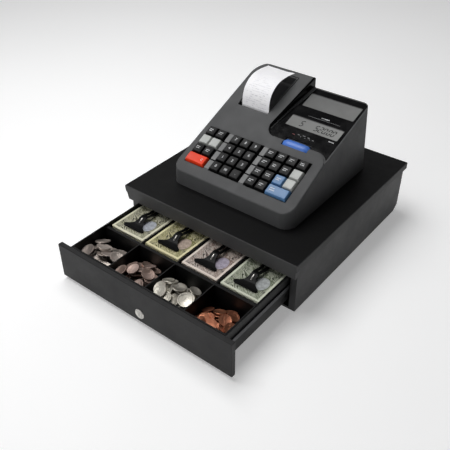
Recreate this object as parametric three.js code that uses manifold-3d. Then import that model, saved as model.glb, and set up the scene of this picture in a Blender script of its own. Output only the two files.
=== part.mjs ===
// Compact cash register: a keyboard head with display and receipt printer, standing on a steel
// cash drawer cabinet whose drawer is pulled out to its stop.
// Millimetres, +Z up, +X to the operator's right, +Y to the back, Z = 0 on the counter.
import * as THREE from "three";
import { mergeVertices } from "three/addons/utils/BufferGeometryUtils.js";
import Module from "manifold-3d";

const wasm = await Module();
wasm.setup();

// ---------------------------------------------------------------- driving dimensions
const GAP = 0.3; // between pieces that touch
const THROUGH = 5; // how far a cutter runs past the piece it cuts

const LID = {
  half: 167.5, depth: 351, top: 100, skirt: 15, bezel: 28, wall: 2, bezelSetBack: 3, taper: 2.2,
};
const BODY = {
  half: 163.5, front: 10.5, back: 348.5, bottom: 3, top: 97.5, wall: 1.6,
  opening: 152.5, sill: 4, mouthTop: 87.5,
  chamferAlong: 12, chamferUp: 10,
};
const FOOT = { inset: 12, width: 14, front: 26, back: 326, tread: 1 };
const DRAWER_OPEN = 147;
const PANEL = { half: 167, front: 0, thick: 7.8, bottom: 6, top: 68.5, sheet: 1.4 };
const BOX = { half: 149.5, wall: 1, front: 8.1, back: 337, bottom: 20, top: 66 };
const RUNNER = { thick: 2.4, low: 43.5, high: 51, front: 14, back: 330 };
const RAIL = { wall: 1.5, front: 14, back: 340, clearance: 0.5 };
const TILL = {
  half: 148, front: 9.5, back: 250.5, bottom: 21.6, top: 67, inner: 63, wall: 1.5, divider: 1.6, cross: 5,
  coinDepth: 67.5, scoop: 20, columns: 4,
};
const CLIP = {
  pivotY: 241, pivotZ: 60.6, hub: 3.5, bore: 2, pin: 1.6, earGap: 7, earThick: 2,
  arm: 13, sheet: 1.8, footHalf: 21, footFront: 101, footBack: 126, footZ: 62.2, neck: 6.6,
  slotHalf: 1.7, neckSlot: [118, 126.5], armSlot: [137, 160],
};
const LOCK = { z: 22, flange: 8.5, proud: 1, barrel: 7, plug: 5.2, length: 26 };
const LATCH = { pivotY: 343, pivotZ: 14, hub: 3, width: 16, reach: 13, hook: 4 };

const HEAD = {
  half: 116.5, front: 57, back: 293, draft: 3.5, planRadius: 20, backRadius: 12, backRadiusLeft: 30, sideRound: 2.6,
  frontHeight: 27, frontRound: 2.8, backRound: 3.5, wall: 3,
};
const DECK_SLOPE = 24.5;
const DISPLAY = { slope: 17.5, backY: 286, backZ: 112, recess: 2.3, frontY: 167.5 };
const STEP = { fillet: 2.5, edge: 5, corner: 18, deckCorner: 22, backX: 7, frontX: -9 };
const SCREENS = [
  { low: 201, high: 225.6, left: 7, right: 103.5 },
  { low: 248, high: 280, left: 8, right: 104 },
];
const SCREEN_CORNER = 2;
const DIAL = { x: 51.5, y: 168.5, depth: 8.7, radius: 9.6, end: 6.6, half: 23, shaft: 3 };

const KEY = { pitchX: 19.4, pitchY: 19.3, gap: 1.2, rise: 5, draw: 1.5, sink: 4.4, stem: 4.4 };
const KEYBOARD = {
  left: -101.5, front: 75.5, spacer: 10.8, rows: 4, board: 2.4, boardDepth: 8.2, margin: 5,
  border: 0.7, grooveHalf: 0.8, grooveDepth: 2.1,
};
const CLUSTERS = [2, 3, 4]; // columns of keys between the two spacer bars

const POCKET = { front: 199, back: 280.5, x: -57, frontHalf: 30, backHalf: 38, depth: 13 };
const COVER = { gap: 0.8, rearGap: 1.8, skin: 2, lip: 7.5 }; // rearGap lets the sunk rear corners swing out
const PAPER = { x: -54, half: 27, thick: 0.5 };
const ROLL = { radius: 24, core: 6.5, y: 246, z: 58, half: 28.5 };

// ---------------------------------------------------------------- small helpers
const degrees = THREE.MathUtils.degToRad;
const tanOf = (angle) => Math.tan(degrees(angle));
const cosOf = (angle) => Math.cos(degrees(angle));
const sinOf = (angle) => Math.sin(degrees(angle));

// A closed surface as a solid that can be cut and joined.
function solid(geometry) {
  geometry.deleteAttribute("normal");
  geometry.deleteAttribute("uv");
  const merged = mergeVertices(geometry, 1e-4);
  const skin = new wasm.Mesh({
    numProp: 3,
    vertProperties: new Float32Array(merged.attributes.position.array),
    triVerts: new Uint32Array(merged.index.array),
  });
  return new wasm.Manifold(skin);
}

// A solid as a flat-shaded surface.
function geometryOf(body) {
  const { vertProperties, triVerts, numProp } = body.getMesh();
  const positions = new Float32Array(triVerts.length * 3);
  for (let corner = 0; corner < triVerts.length; corner += 1) {
    for (let k = 0; k < 3; k += 1) positions[3 * corner + k] = vertProperties[triVerts[corner] * numProp + k];
  }
  const geometry = new THREE.BufferGeometry();
  geometry.setAttribute("position", new THREE.BufferAttribute(positions, 3));
  geometry.computeVertexNormals();
  return geometry;
}

const join = (first, ...others) => others.reduce((all, next) => all.add(next), first);
const cut = (first, ...others) => others.reduce((all, next) => all.subtract(next), first);

function box(x0, x1, y0, y1, z0, z1) {
  const geometry = new THREE.BoxGeometry(x1 - x0, y1 - y0, z1 - z0);
  geometry.translate((x0 + x1) / 2, (y0 + y1) / 2, (z0 + z1) / 2);
  return solid(geometry);
}

// Prisms of an outline: in YZ along X, in XZ along Y, in XY along Z.
function extrude(outline, length, basis, origin) {
  const shape = new THREE.Shape(outline.map(([u, v]) => new THREE.Vector2(u, v)));
  const geometry = new THREE.ExtrudeGeometry(shape, { depth: length, bevelEnabled: false });
  const matrix = new THREE.Matrix4().makeBasis(...basis.map((v) => new THREE.Vector3(...v)));
  matrix.setPosition(...origin);
  geometry.applyMatrix4(matrix);
  return solid(geometry);
}
const prismX = (outline, x0, x1) => extrude(outline, x1 - x0, [[0, 1, 0], [0, 0, 1], [1, 0, 0]], [x0, 0, 0]);
const prismY = (outline, y0, y1) => extrude(outline, y1 - y0, [[1, 0, 0], [0, 0, 1], [0, -1, 0]], [0, y1, 0]);
const prismZ = (outline, z0, z1) => extrude(outline, z1 - z0, [[1, 0, 0], [0, 1, 0], [0, 0, 1]], [0, 0, z0]);

// A round bar along X, Y or Z, starting at a point.
function rod(axis, radius, length, start, sides = 24, endRadius = radius) {
  const geometry = new THREE.CylinderGeometry(endRadius, radius, length, sides);
  geometry.translate(0, length / 2, 0);
  if (axis === "x") geometry.rotateZ(-Math.PI / 2);
  if (axis === "z") geometry.rotateX(Math.PI / 2);
  geometry.translate(...start);
  return solid(geometry);
}

// Points of an arc, from one angle to another in degrees.
function arc(u, v, radius, from, to, steps = 6) {
  const points = [];
  for (let i = 0; i <= steps; i += 1) {
    const angle = degrees(from + ((to - from) * i) / steps);
    points.push([u + radius * Math.cos(angle), v + radius * Math.sin(angle)]);
  }
  return points;
}

// A closed skin through rings of points, with flat caps that are triangulated in their own outline.
function loft(rings, capAxes) {
  const count = rings[0].length;
  const positions = rings.flat().flat();
  const index = [];
  for (let r = 0; r + 1 < rings.length; r += 1) {
    for (let i = 0; i < count; i += 1) {
      const a = r * count + i;
      const b = r * count + ((i + 1) % count);
      index.push(a, b, b + count, a, b + count, a + count);
    }
  }
  const [u, v] = capAxes;
  const flat = (ring) => ring.map((point) => new THREE.Vector2(point[u], point[v]));
  const capOf = (ring) => THREE.ShapeUtils.triangulateShape(flat(ring), []);
  const last = (rings.length - 1) * count;
  for (const [a, b, c] of capOf(rings[0])) index.push(c, b, a);
  for (const [a, b, c] of capOf(rings[rings.length - 1])) index.push(last + a, last + b, last + c);
  const geometry = new THREE.BufferGeometry();
  geometry.setAttribute("position", new THREE.Float32BufferAttribute(positions, 3));
  geometry.setIndex(index);
  return geometry;
}

// A loft whose winding is turned round when it comes out inside out.
function loftSolid(rings, capAxes) {
  const geometry = loft(rings, capAxes);
  const first = solid(geometry.clone());
  if (first.volume() > 0) return first;
  const index = geometry.index.array;
  for (let i = 0; i < index.length; i += 3) [index[i], index[i + 1]] = [index[i + 1], index[i]];
  return solid(geometry);
}

const materials = {
  blackSteel: { color: 0x1e1e1f, roughness: 0.55, metalness: 0.3 },
  greySteel: { color: 0x343536, roughness: 0.5, metalness: 0.3 },
  brightSteel: { color: 0xb8babb, roughness: 0.3, metalness: 0.9 },
  tillPlastic: { color: 0x161617, roughness: 0.5, metalness: 0 },
  clipPlastic: { color: 0x0d0d0e, roughness: 0.4, metalness: 0 },
  rubber: { color: 0x101010, roughness: 0.9, metalness: 0 },
  greyPlastic: { color: 0x555658, roughness: 0.6, metalness: 0 },
  gloss: { color: 0x060607, roughness: 0.12, metalness: 0 },
  lcd: { color: 0x82827f, roughness: 0.3, metalness: 0 },
  blackKey: { color: 0x1c1c1e, roughness: 0.45, metalness: 0 },
  lightKey: { color: 0xc8cbc6, roughness: 0.5, metalness: 0 },
  blueKey: { color: 0x507daa, roughness: 0.45, metalness: 0 },
  redKey: { color: 0xeb4b1e, roughness: 0.45, metalness: 0 },
  dialBlue: { color: 0x5a82c8, roughness: 0.4, metalness: 0 },
  paper: { color: 0xf2f2f4, roughness: 0.9, metalness: 0 },
  board: { color: 0x1b1b1c, roughness: 0.7, metalness: 0 },
};

function mesh(name, body, material) {
  const made = new THREE.Mesh(geometryOf(body), new THREE.MeshStandardMaterial(materials[material]));
  made.name = name;
  return made;
}

// ---------------------------------------------------------------- cabinet
// Pressed lid: a shallow cap with a deep front bezel that leans back, and a skirt that tapers in below.
function cabinetLid() {
  const { half, depth, top, skirt, bezel, wall, bezelSetBack, taper } = LID;
  const low = top - skirt;
  const bottom = top - bezel;
  const edge = 0.9; // broken edge of the folded sheet
  const upright = 4; // straight part of the bezel, above its lean
  const hem = 3.2; // height over which the skirt tapers in
  const side = [
    [edge, top], [0, top - edge], [0, top - upright], [bezelSetBack, bottom], [bezelSetBack + 6, bottom],
    [bezelSetBack + 10, low], [depth - taper, low], [depth, low + hem],
    [depth, top - edge], [depth - edge, top],
  ];
  const rightHalf = [
    [half - bezelSetBack, bottom], [half - taper, low], [half, low + hem],
    [half, top - edge], [half - edge, top],
  ];
  const across = [...rightHalf, ...rightHalf.map(([x, z]) => [-x, z]).reverse()];
  const outer = prismX(side, -half, half).intersect(prismY(across, -THROUGH, depth + THROUGH));
  const inside = BODY.half + 2 * GAP;
  const cavity = box(-inside, inside, BODY.front - GAP, BODY.back + 2 * GAP, bottom - THROUGH, top - wall);
  return cut(outer, cavity);
}

// Folded steel case, open at the front and on top, with a narrow frame round the drawer opening.
function cabinetBody() {
  const { half, front, back, bottom, top, wall, opening, sill, mouthTop, chamferAlong, chamferUp } = BODY;
  const outline = (grow) => [
    [front + grow, bottom + grow], [back - chamferAlong, bottom + grow], [back - grow, bottom + chamferUp],
    [back - grow, top + THROUGH], [front + grow, top + THROUGH],
  ];
  const outer = prismX(outline(0), -half, half).intersect(box(-half, half, front, back, bottom, top));
  const cavity = prismX(outline(wall), -half + wall, half - wall);
  const mouth = box(-opening, opening, front - THROUGH, front + 2 * wall, bottom + sill, mouthTop);
  return cut(outer, cavity, mouth);
}

// Rubber strip under one side of the cabinet.
function foot(side) {
  const { inset, width, front, back, tread } = FOOT;
  const outside = side * (BODY.half - inset);
  const inside = outside - side * width;
  const [x0, x1] = [outside, inside].sort((a, b) => a - b);
  const high = BODY.bottom - GAP;
  const section = [[x0 + tread, 0], [x1 - tread, 0], [x1, tread], [x1, high], [x0, high], [x0, tread]];
  return prismY(section, front, back);
}

// Channel fixed to the cabinet wall; the drawer's runner slides between its two flanges.
function rail(side) {
  const outside = BODY.half - BODY.wall - GAP;
  const lip = BOX.half + 1;
  const { wall, front, back, clearance } = RAIL;
  const low = RUNNER.low - clearance;
  const high = RUNNER.high + clearance;
  const section = [
    [outside, low - wall], [outside, high + wall], [lip, high + wall], [lip, high],
    [outside - wall, high], [outside - wall, low], [lip, low], [lip, low - wall],
  ].map(([x, z]) => [side * x, z]);
  return prismY(section, front, back);
}

// Hook on the cabinet floor that drops into the drawer's striker and holds the drawer shut.
function drawerLatch() {
  const { pivotY, pivotZ, hub, width, reach, hook: hookTop } = LATCH;
  const half = width / 2;
  const tip = pivotY - reach;
  const side = [
    [pivotY - 1.5, pivotZ - 2.6], [pivotY - 1.5, pivotZ + 2.4], [tip, pivotZ - 2.4], [tip, pivotZ - 5],
  ];
  const arm = prismX(side, -half, half);
  const hook = box(-half, half, tip, tip + 3, pivotZ - 4.8, pivotZ + hookTop);
  return join(arm, hook, rod("x", hub, width, [-half, pivotY, pivotZ], 20));
}

// ---------------------------------------------------------------- drawer, drawn in its closed place
// Front panel: a shallow steel pan, with a boss round the lock's hole.
function drawerPanel() {
  const { half, front, thick, bottom, top, sheet } = PANEL;
  const edge = 0.8;
  const section = [
    [front + edge, top], [front, top - edge], [front, bottom + edge], [front + edge, bottom],
    [front + thick, bottom], [front + thick, top],
  ];
  const plate = prismX(section, -half, half);
  const panHalf = half - sheet;
  const pan = box(-panHalf, panHalf, front + sheet, front + thick + THROUGH, bottom + sheet, top - sheet);
  const boss = rod("y", LOCK.barrel + 5, thick - sheet - 0.4, [0, front + sheet - 0.2, LOCK.z], 28);
  const hole = rod("y", LOCK.barrel + GAP, thick + 2 * THROUGH, [0, front - THROUGH, LOCK.z], 28);
  return cut(join(cut(plate, pan), boss), hole);
}

// Steel tray that carries the till, with the slide runners welded to its sides.
function drawerBox() {
  const { half, wall, front, back, bottom, top } = BOX;
  const outer = box(-half, half, front, back, bottom, top);
  const cavity = box(-half + wall, half - wall, front + wall, back - wall, bottom + wall, top + THROUGH);
  const lockNotch = lockSpace(LOCK.barrel + 1.5, front - 2, LOCK.length + 6);
  const keeper = LATCH.pivotY - LATCH.reach; // the latch hooks into a hole in the floor
  const keeperHalf = LATCH.width * 0.65;
  const striker = box(-keeperHalf, keeperHalf, keeper - 2.5, keeper + 5.5, bottom - 1, bottom + 2);
  const runners = [-1, 1].map((side) => {
    const [x0, x1] = [side * (half - 0.2), side * (half + RUNNER.thick)].sort((a, b) => a - b);
    return box(x0, x1, RUNNER.front, RUNNER.back, RUNNER.low, RUNNER.high);
  });
  return cut(join(outer, ...runners), cavity, lockNotch, striker);
}

const tillCell = (2 * TILL.half - 2 * TILL.wall - (TILL.columns - 1) * TILL.divider) / TILL.columns;
const tillCellLeft = (column) => -TILL.half + TILL.wall + column * (tillCell + TILL.divider);
const tillCellCentre = (column) => tillCellLeft(column) + tillCell / 2;

// Room for the lock's barrel and cam, open below.
function lockSpace(half, from, to) {
  return box(-half, half, from, to, BOX.bottom - 2 * THROUGH, LOCK.z + half);
}

// Moulded till insert: a row of coin cups with a curved front, and a row of note bays behind.
function tillTray() {
  const { half, front, back, bottom, top, inner, wall, cross, coinDepth, scoop, columns } = TILL;
  const floor = bottom + wall;
  const coinFront = front + wall + 1;
  const coinBack = coinFront + coinDepth;
  const noteFront = coinBack + cross;
  const rim = box(wall - half, half - wall, coinFront, back - wall, inner, top + THROUGH);
  let tray = cut(box(-half, half, front, back, bottom, top), rim);
  const coinCup = [
    [coinBack, floor], [coinBack, top + THROUGH], [coinFront, top + THROUGH],
    ...arc(coinFront + scoop, floor + scoop, scoop, 180, 270, 7),
  ];
  for (let column = 0; column < columns; column += 1) {
    const left = tillCellLeft(column);
    tray = cut(tray, prismX(coinCup, left, left + tillCell));
    tray = cut(tray, box(left, left + tillCell, noteFront, back - wall, floor, top + THROUGH));
    tray = join(tray, ...clipBracket(tillCellCentre(column)));
  }
  const room = LOCK.barrel + 2;
  const podBack = LOCK.length + 7;
  const around = box(-half, half, front, back, bottom, top);
  const pod = lockSpace(room + wall, front, podBack + wall).intersect(around);
  return cut(join(tray, pod), lockSpace(room, front - THROUGH, podBack));
}

// Two ears and the pin between them that carry one bill clip, moulded on the till's back wall.
function clipBracket(x) {
  const { pivotY, pivotZ, pin, earGap, earThick } = CLIP;
  const wallFace = TILL.back - TILL.wall;
  const ears = [-1, 1].map((side) => {
    const near = x + side * earGap;
    const far = near + side * earThick;
    const outline = [
      [wallFace + 0.5, pivotZ - 9], [wallFace + 0.5, pivotZ + 5], ...arc(pivotY, pivotZ, 4.2, 90, 235, 6),
    ];
    return prismX(outline, Math.min(near, far), Math.max(near, far));
  });
  return [...ears, rod("x", pin, 2 * earGap + 1, [x - earGap - 0.5, pivotY, pivotZ], 12)];
}

// Bill clip: a hub, a slotted arm and a bell-shaped foot that presses on the notes.
function billClip() {
  const { pivotY, pivotZ, hub, bore, earGap, arm, sheet } = CLIP;
  const { footHalf, footFront, footBack, footZ, neck, slotHalf, neckSlot, armSlot } = CLIP;
  const armZ = pivotZ + hub - 1;
  const under = [
    [footFront, footZ + 1.2], [footFront + 3, footZ],
    [footBack - 12, footZ], [footBack - 8, footZ + neck * 0.2], [footBack - 1, footZ + neck * 0.85],
    [footBack + 2, footZ + neck], [footBack + 5, footZ + neck], [footBack + 22, armZ + 1.2], [pivotY, armZ],
  ];
  const side = [...under, ...under.map(([y, z]) => [y, z + sheet]).reverse()];
  const half = arm / 2;
  const plan = [
    [half, pivotY + 1], [half, footBack + 8], [half - 0.8, footBack + 2], [half, footBack - 5],
    [half + 3, footBack - 10], [half + 8, footBack - 15], [footHalf - 1.5, footFront + 7],
    [footHalf, footFront + 4.5], [footHalf - 0.8, footFront + 2], [footHalf - 3.5, footFront],
  ];
  const outline = [...plan, ...plan.map(([x, y]) => [-x, y]).reverse()];
  const blade = prismX(side, -footHalf - 1, footHalf + 1).intersect(prismZ(outline, 0, 100));
  const slots = [neckSlot, armSlot].map(([near, far]) => box(-slotHalf, slotHalf, near, far, 0, 100));
  const barrel = rod("x", hub, 2 * (earGap - 0.5), [-earGap + 0.5, pivotY, pivotZ], 20);
  const hole = rod("x", bore, 4 * earGap, [-2 * earGap, pivotY, pivotZ], 16);
  return cut(join(cut(blade, ...slots), barrel), hole);
}

// Lock cylinder, with a flange that sits proud of the panel.
function lockHousing() {
  const { z, flange, proud, barrel, plug, length } = LOCK;
  const front = PANEL.front - proud;
  const disc = rod("y", flange - 0.6, 0.7, [0, front, z], 36, flange);
  const discBack = rod("y", flange, proud - 0.6 - 0.05, [0, front + 0.6, z], 36);
  const body = rod("y", barrel, length, [0, front + 0.2, z], 32);
  const bore = rod("y", plug + GAP, length + 2 * THROUGH, [0, front - THROUGH, z], 28);
  return cut(join(disc, discBack, body), bore);
}

// Turning plug: key slot in its face, and a cam behind the housing.
function lockPlug() {
  const { z, proud, plug, length } = LOCK;
  const front = PANEL.front - proud - 0.2;
  const body = rod("y", plug, length + 2.4, [0, front, z], 28);
  const slot = box(-0.7, 0.7, front - 1, front + 5, z - 3.2, z + 3.2);
  const cam = box(-4, 4, front + length + 1, front + length + 2.8, z - 6.5, z + 6.5);
  return cut(join(body, cam), slot);
}

// ---------------------------------------------------------------- head
const deckZ = (y) => HEAD.frontHeight + (y - HEAD.front) * tanOf(DECK_SLOPE);
const displayZ = (y) => DISPLAY.backZ + (y - DISPLAY.backY) * tanOf(DISPLAY.slope);

// Height of the head's top edge along Y, with its front and back edges rounded.
function topHeight(y, front, back, drop, roundFront, roundBack) {
  const slopeCos = cosOf(DECK_SLOPE);
  const slopeSin = sinOf(DECK_SLOPE);
  const frontCentre = front + roundFront;
  const backCentre = back - roundBack;
  if (y < frontCentre - roundFront * slopeSin) {
    const centreZ = deckZ(frontCentre) - drop - roundFront / slopeCos;
    return centreZ + Math.sqrt(Math.max(0, roundFront ** 2 - (frontCentre - y) ** 2));
  }
  if (y > backCentre - roundBack * slopeSin) {
    const centreZ = deckZ(backCentre) - drop - roundBack / slopeCos;
    return centreZ + Math.sqrt(Math.max(0, roundBack ** 2 - (y - backCentre) ** 2));
  }
  return deckZ(y) - drop;
}

// Half width at the foot of the wall, with the plan's corners rounded.
function halfWidth(y, half, front, back, radius, backRadius) {
  const nearFront = Math.max(0, radius - (y - front));
  const nearBack = Math.max(0, backRadius - (back - y));
  const frontCorner = radius - Math.sqrt(Math.max(0, radius ** 2 - nearFront ** 2));
  const backCorner = backRadius - Math.sqrt(Math.max(0, backRadius ** 2 - nearBack ** 2));
  return half - frontCorner - backCorner;
}

// The wedge-shaped volume of the head, shrunk by an inset for its inside.
function headVolume(inset, bottom) {
  const front = HEAD.front + inset;
  const back = HEAD.back - inset;
  const drop = inset / cosOf(DECK_SLOPE);
  const planRadius = HEAD.planRadius - inset;
  const backRadius = HEAD.backRadius - inset;
  const backRadiusLeft = HEAD.backRadiusLeft - inset;
  const roundFront = HEAD.frontRound - inset * 0.6;
  const roundBack = HEAD.backRound - inset * 0.6;
  const sideRound = HEAD.sideRound - inset * 0.6;
  const steps = 8;
  const stations = new Set([front + roundFront * (1 - sinOf(DECK_SLOPE))]);
  stations.add(back - roundBack * (1 + sinOf(DECK_SLOPE)));
  for (let i = 0; i <= steps; i += 1) {
    const share = 1 - Math.cos((Math.PI / 2) * (i / steps));
    stations.add(front + planRadius * share);
    stations.add(front + roundFront * share);
    stations.add(back - backRadius * share);
    stations.add(back - backRadiusLeft * share);
    stations.add(back - roundBack * share);
  }
  const ordered = [...stations].sort((a, b) => a - b);
  const sorted = ordered.filter((y, i) => i === 0 || y - ordered[i - 1] > 0.05);
  const rings = sorted.map((y) => {
    const top = topHeight(y, front, back, drop, roundFront, roundBack);
    const centreZ = top - sideRound;
    const sideOf = (rearRadius) => {
      const foot = halfWidth(y, HEAD.half - inset, front, back, planRadius, rearRadius);
      const centreX = foot - centreZ * tanOf(HEAD.draft) - sideRound / cosOf(HEAD.draft);
      return [[foot - bottom * tanOf(HEAD.draft), bottom], ...arc(centreX, centreZ, sideRound, HEAD.draft, 90, 6)];
    };
    const left = sideOf(backRadiusLeft).map(([x, z]) => [-x, z]);
    return [...sideOf(backRadius), ...left.reverse()].map(([x, z]) => [x, y, z]);
  });
  return loftSolid(rings, [0, 2]);
}

// Centre of the deck's rounded rear right corner.
const deckCornerX = (radius) => HEAD.half - HEAD.draft - 2 - radius;

// Plan outline of the display bay, which is open to the back and to the right.
function bayOutline(grow = 0) {
  const { corner, deckCorner, backX, frontX } = STEP;
  const left = frontX - grow;
  const low = DISPLAY.frontY - grow;
  const beyond = HEAD.back + 14;
  const right = HEAD.half + 20;
  const bend = corner + grow;
  const turn = Math.max(2, deckCorner - grow);
  const turnX = deckCornerX(turn) + grow;
  return [
    [backX - grow, beyond],
    ...arc(left + bend, low + bend, bend, 185, 270, 9),
    ...arc(turnX, low - turn, turn, 90, 0, 7),
    [right, low - turn - 1],
    [right, beyond],
  ];
}

// Outline moved outwards at each of its points.
function offsetOutline(points, distance) {
  return points.map((point, i) => {
    const before = points[(i + points.length - 1) % points.length];
    const after = points[(i + 1) % points.length];
    const tangentIn = new THREE.Vector2(point[0] - before[0], point[1] - before[1]).normalize();
    const tangentOut = new THREE.Vector2(after[0] - point[0], after[1] - point[1]).normalize();
    const normal = new THREE.Vector2(tangentIn.y + tangentOut.y, -tangentIn.x - tangentOut.x).normalize();
    const stretch = 1 / Math.max(0.5, normal.dot(new THREE.Vector2(tangentOut.y, -tangentOut.x)));
    return [point[0] + normal.x * distance * stretch, point[1] + normal.y * distance * stretch];
  });
}

// Cutter that sinks an outline from the deck to a floor, with a filleted foot and a rounded rim.
function bayCutter(outline, floorZ, fillet, edge) {
  const steps = 5;
  const wallAt = ([, y]) => Math.max(0.4, deckZ(y) - floorZ(y));
  const rings = [];
  const ring = (shiftOf, heightOf) => {
    const moved = outline.map((point, i) => {
      const wall = wallAt(point);
      const foot = Math.min(fillet, wall * 0.35);
      const rim = Math.min(edge, wall * 0.5);
      const shifted = offsetOutline(outline, shiftOf(foot, rim))[i];
      return [shifted[0], shifted[1], heightOf(shifted[1], foot, rim)];
    });
    rings.push(moved);
  };
  for (let i = 0; i <= steps; i += 1) {
    const angle = (Math.PI / 2) * (i / steps);
    ring(
      (foot) => -foot * (1 - Math.sin(angle)),
      (y, foot) => floorZ(y) + foot * (1 - Math.cos(angle)),
    );
  }
  for (let i = 0; i <= steps; i += 1) {
    const angle = (Math.PI / 2) * (i / steps);
    ring(
      (foot, rim) => rim * (1 - Math.cos(angle)),
      (y, foot, rim) => {
        const lowest = floorZ(y) + foot + 0.05;
        return Math.max(lowest, deckZ(y) - rim * (1 - Math.sin(angle))) + 0.01 * i;
      },
    );
  }
  ring(
    (foot, rim) => rim,
    (y) => Math.max(floorZ(y), deckZ(y)) + 60,
  );
  return loftSolid(rings, [0, 1]);
}

// Turns a solid drawn flat on a sloped face into the head's frame: +Y up the slope, +Z out of the face.
function onSlope(body, angle, y, z) {
  const matrix = new THREE.Matrix4().makeRotationX(degrees(angle));
  matrix.setPosition(0, y, z);
  return body.transform(matrix.elements);
}
const onDeck = (body) => onSlope(body, DECK_SLOPE, HEAD.front, HEAD.frontHeight);
const onDisplay = (body) => onSlope(body, DISPLAY.slope, DISPLAY.backY, DISPLAY.backZ);
const alongDeck = (y) => (y - HEAD.front) / cosOf(DECK_SLOPE);
const alongDisplay = (y) => (y - DISPLAY.backY) / cosOf(DISPLAY.slope);

const keyColumns = CLUSTERS.reduce((sum, columns) => sum + columns, 0);
const keyboardWidth = keyColumns * KEY.pitchX + (CLUSTERS.length - 1) * KEYBOARD.spacer;
const keyboardDepth = KEYBOARD.rows * KEY.pitchY;
const keyboardFront = alongDeck(KEYBOARD.front);

// Left edge of each cluster of keys.
function clusterLeft(cluster) {
  const before = CLUSTERS.slice(0, cluster).reduce((sum, columns) => sum + columns, 0);
  return KEYBOARD.left + before * KEY.pitchX + cluster * KEYBOARD.spacer;
}

// Plan of the pocket over the paper roll, which widens to the back.
function pocketOutline(low = POCKET.front, shrink = 0, shrinkRear = 0) {
  const { back, x, frontHalf, backHalf } = POCKET;
  const near = frontHalf - shrink;
  const far = backHalf - shrinkRear;
  return [[x - near, low], [x + near, low], [x + far, back - shrink], [x - far, back - shrink]];
}

// Outline of the black display panel, flat in its own plane.
function panelOutline(grow = 0) {
  const inset = STEP.fillet + 0.6 - grow;
  const low = alongDisplay(DISPLAY.frontY) + inset;
  const high = alongDisplay(HEAD.back) - 2.6 + grow;
  const radius = STEP.corner - inset;
  const left = STEP.frontX + inset;
  const topLeft = STEP.backX + inset - 0.6;
  const turnX = deckCornerX(STEP.deckCorner);
  const turnY = DISPLAY.frontY - STEP.deckCorner;
  const turnRadius = STEP.deckCorner + inset;
  const rightLow = HEAD.half - displayZ(DISPLAY.frontY) * tanOf(HEAD.draft) - 2 + grow;
  const turnEnd = turnY + Math.sqrt(turnRadius ** 2 - (rightLow - turnX) ** 2);
  const roundCorner = arc(turnX, turnY, turnRadius, 90, 0, 10).filter(([x]) => x < rightLow - 1);
  const rightHigh = HEAD.half - displayZ(HEAD.back) * tanOf(HEAD.draft) - 2 + grow;
  return [
    [topLeft, high],
    ...arc(left + radius, low + radius, radius, 186, 270, 8),
    ...roundCorner.map(([x, y]) => [x, alongDisplay(y)]),
    [rightLow, alongDisplay(turnEnd)],
    ...arc(rightHigh - 4, high - 4, 4, 0, 90, 4),
  ];
}

const dialSeat = { y: DIAL.y, z: deckZ(DIAL.y) - DIAL.depth };

// Upper shell of the head, hollow and open underneath.
function headCase() {
  const volume = headVolume(0, 0);
  const hollow = headVolume(HEAD.wall, -THROUGH);
  const bay = bayCutter(bayOutline(), displayZ, STEP.fillet, STEP.edge);
  const underBay = bayCutter(bayOutline(HEAD.wall), (y) => displayZ(y) - HEAD.wall - DISPLAY.recess, 1, 1);
  const shell = cut(volume, bay, cut(hollow, underBay));
  const windows = CLUSTERS.map((columns, cluster) => {
    const left = clusterLeft(cluster) - KEYBOARD.border;
    const right = left + columns * KEY.pitchX + 2 * KEYBOARD.border;
    const front = keyboardFront - KEYBOARD.border;
    const rear = keyboardFront + keyboardDepth + KEYBOARD.border;
    return onDeck(box(left, right, front, rear, -12, THROUGH));
  });
  const grooves = [];
  for (let row = 1; row < KEYBOARD.rows; row += 1) {
    const y = keyboardFront + row * KEY.pitchY;
    const [near, far] = [y - KEYBOARD.grooveHalf, y + KEYBOARD.grooveHalf];
    const right = KEYBOARD.left + keyboardWidth;
    grooves.push(onDeck(box(KEYBOARD.left, right, near, far, -KEYBOARD.grooveDepth, THROUGH)));
  }
  const panelSeat = onDisplay(prismZ(panelOutline(GAP), -DISPLAY.recess, 30));
  const screens = SCREENS.map(({ low, high, left, right }) =>
    onDisplay(box(left - 1, right + 1, alongDisplay(low) - 1, alongDisplay(high) + 1, -12, THROUGH)));
  const pocket = prismZ(pocketOutline(), 60, 160);
  const well = DIAL.half + 0.8;
  const dialWell = rod("x", DIAL.radius + 0.9, 2 * well, [DIAL.x - well, dialSeat.y, dialSeat.z], 32);
  const shaftReach = well + 6;
  const shaftStart = [DIAL.x - shaftReach, dialSeat.y, dialSeat.z];
  const shaftHoles = rod("x", DIAL.shaft + GAP, 2 * shaftReach, shaftStart, 16);
  const cheekSpan = well + 3;
  const cheekBlock = box(
    DIAL.x - cheekSpan, DIAL.x + cheekSpan, dialSeat.y - 6, dialSeat.y + 3, dialSeat.z - 7, dialSeat.z + 5,
  );
  const openings = [...windows, ...grooves, panelSeat, ...screens, pocket, dialWell, shaftHoles];
  return cut(join(shell, cheekBlock), ...openings);
}

// Flat bottom plate that closes the shell.
function headBase() {
  const inset = HEAD.wall + 0.6;
  const radius = HEAD.planRadius - inset;
  const backRadius = HEAD.backRadius - inset;
  const backRadiusLeft = HEAD.backRadiusLeft - inset;
  const half = HEAD.half - inset - 0.4;
  const front = HEAD.front + inset;
  const back = HEAD.back - inset;
  const side = (rear) => [
    ...arc(half - radius, front + radius, radius, -90, 0, 6),
    ...arc(half - rear, back - rear, rear, 0, 90, 6),
  ];
  const left = side(backRadiusLeft).map(([x, y]) => [-x, y]);
  return prismZ([...side(backRadius), ...left.reverse()], GAP, 3);
}

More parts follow.
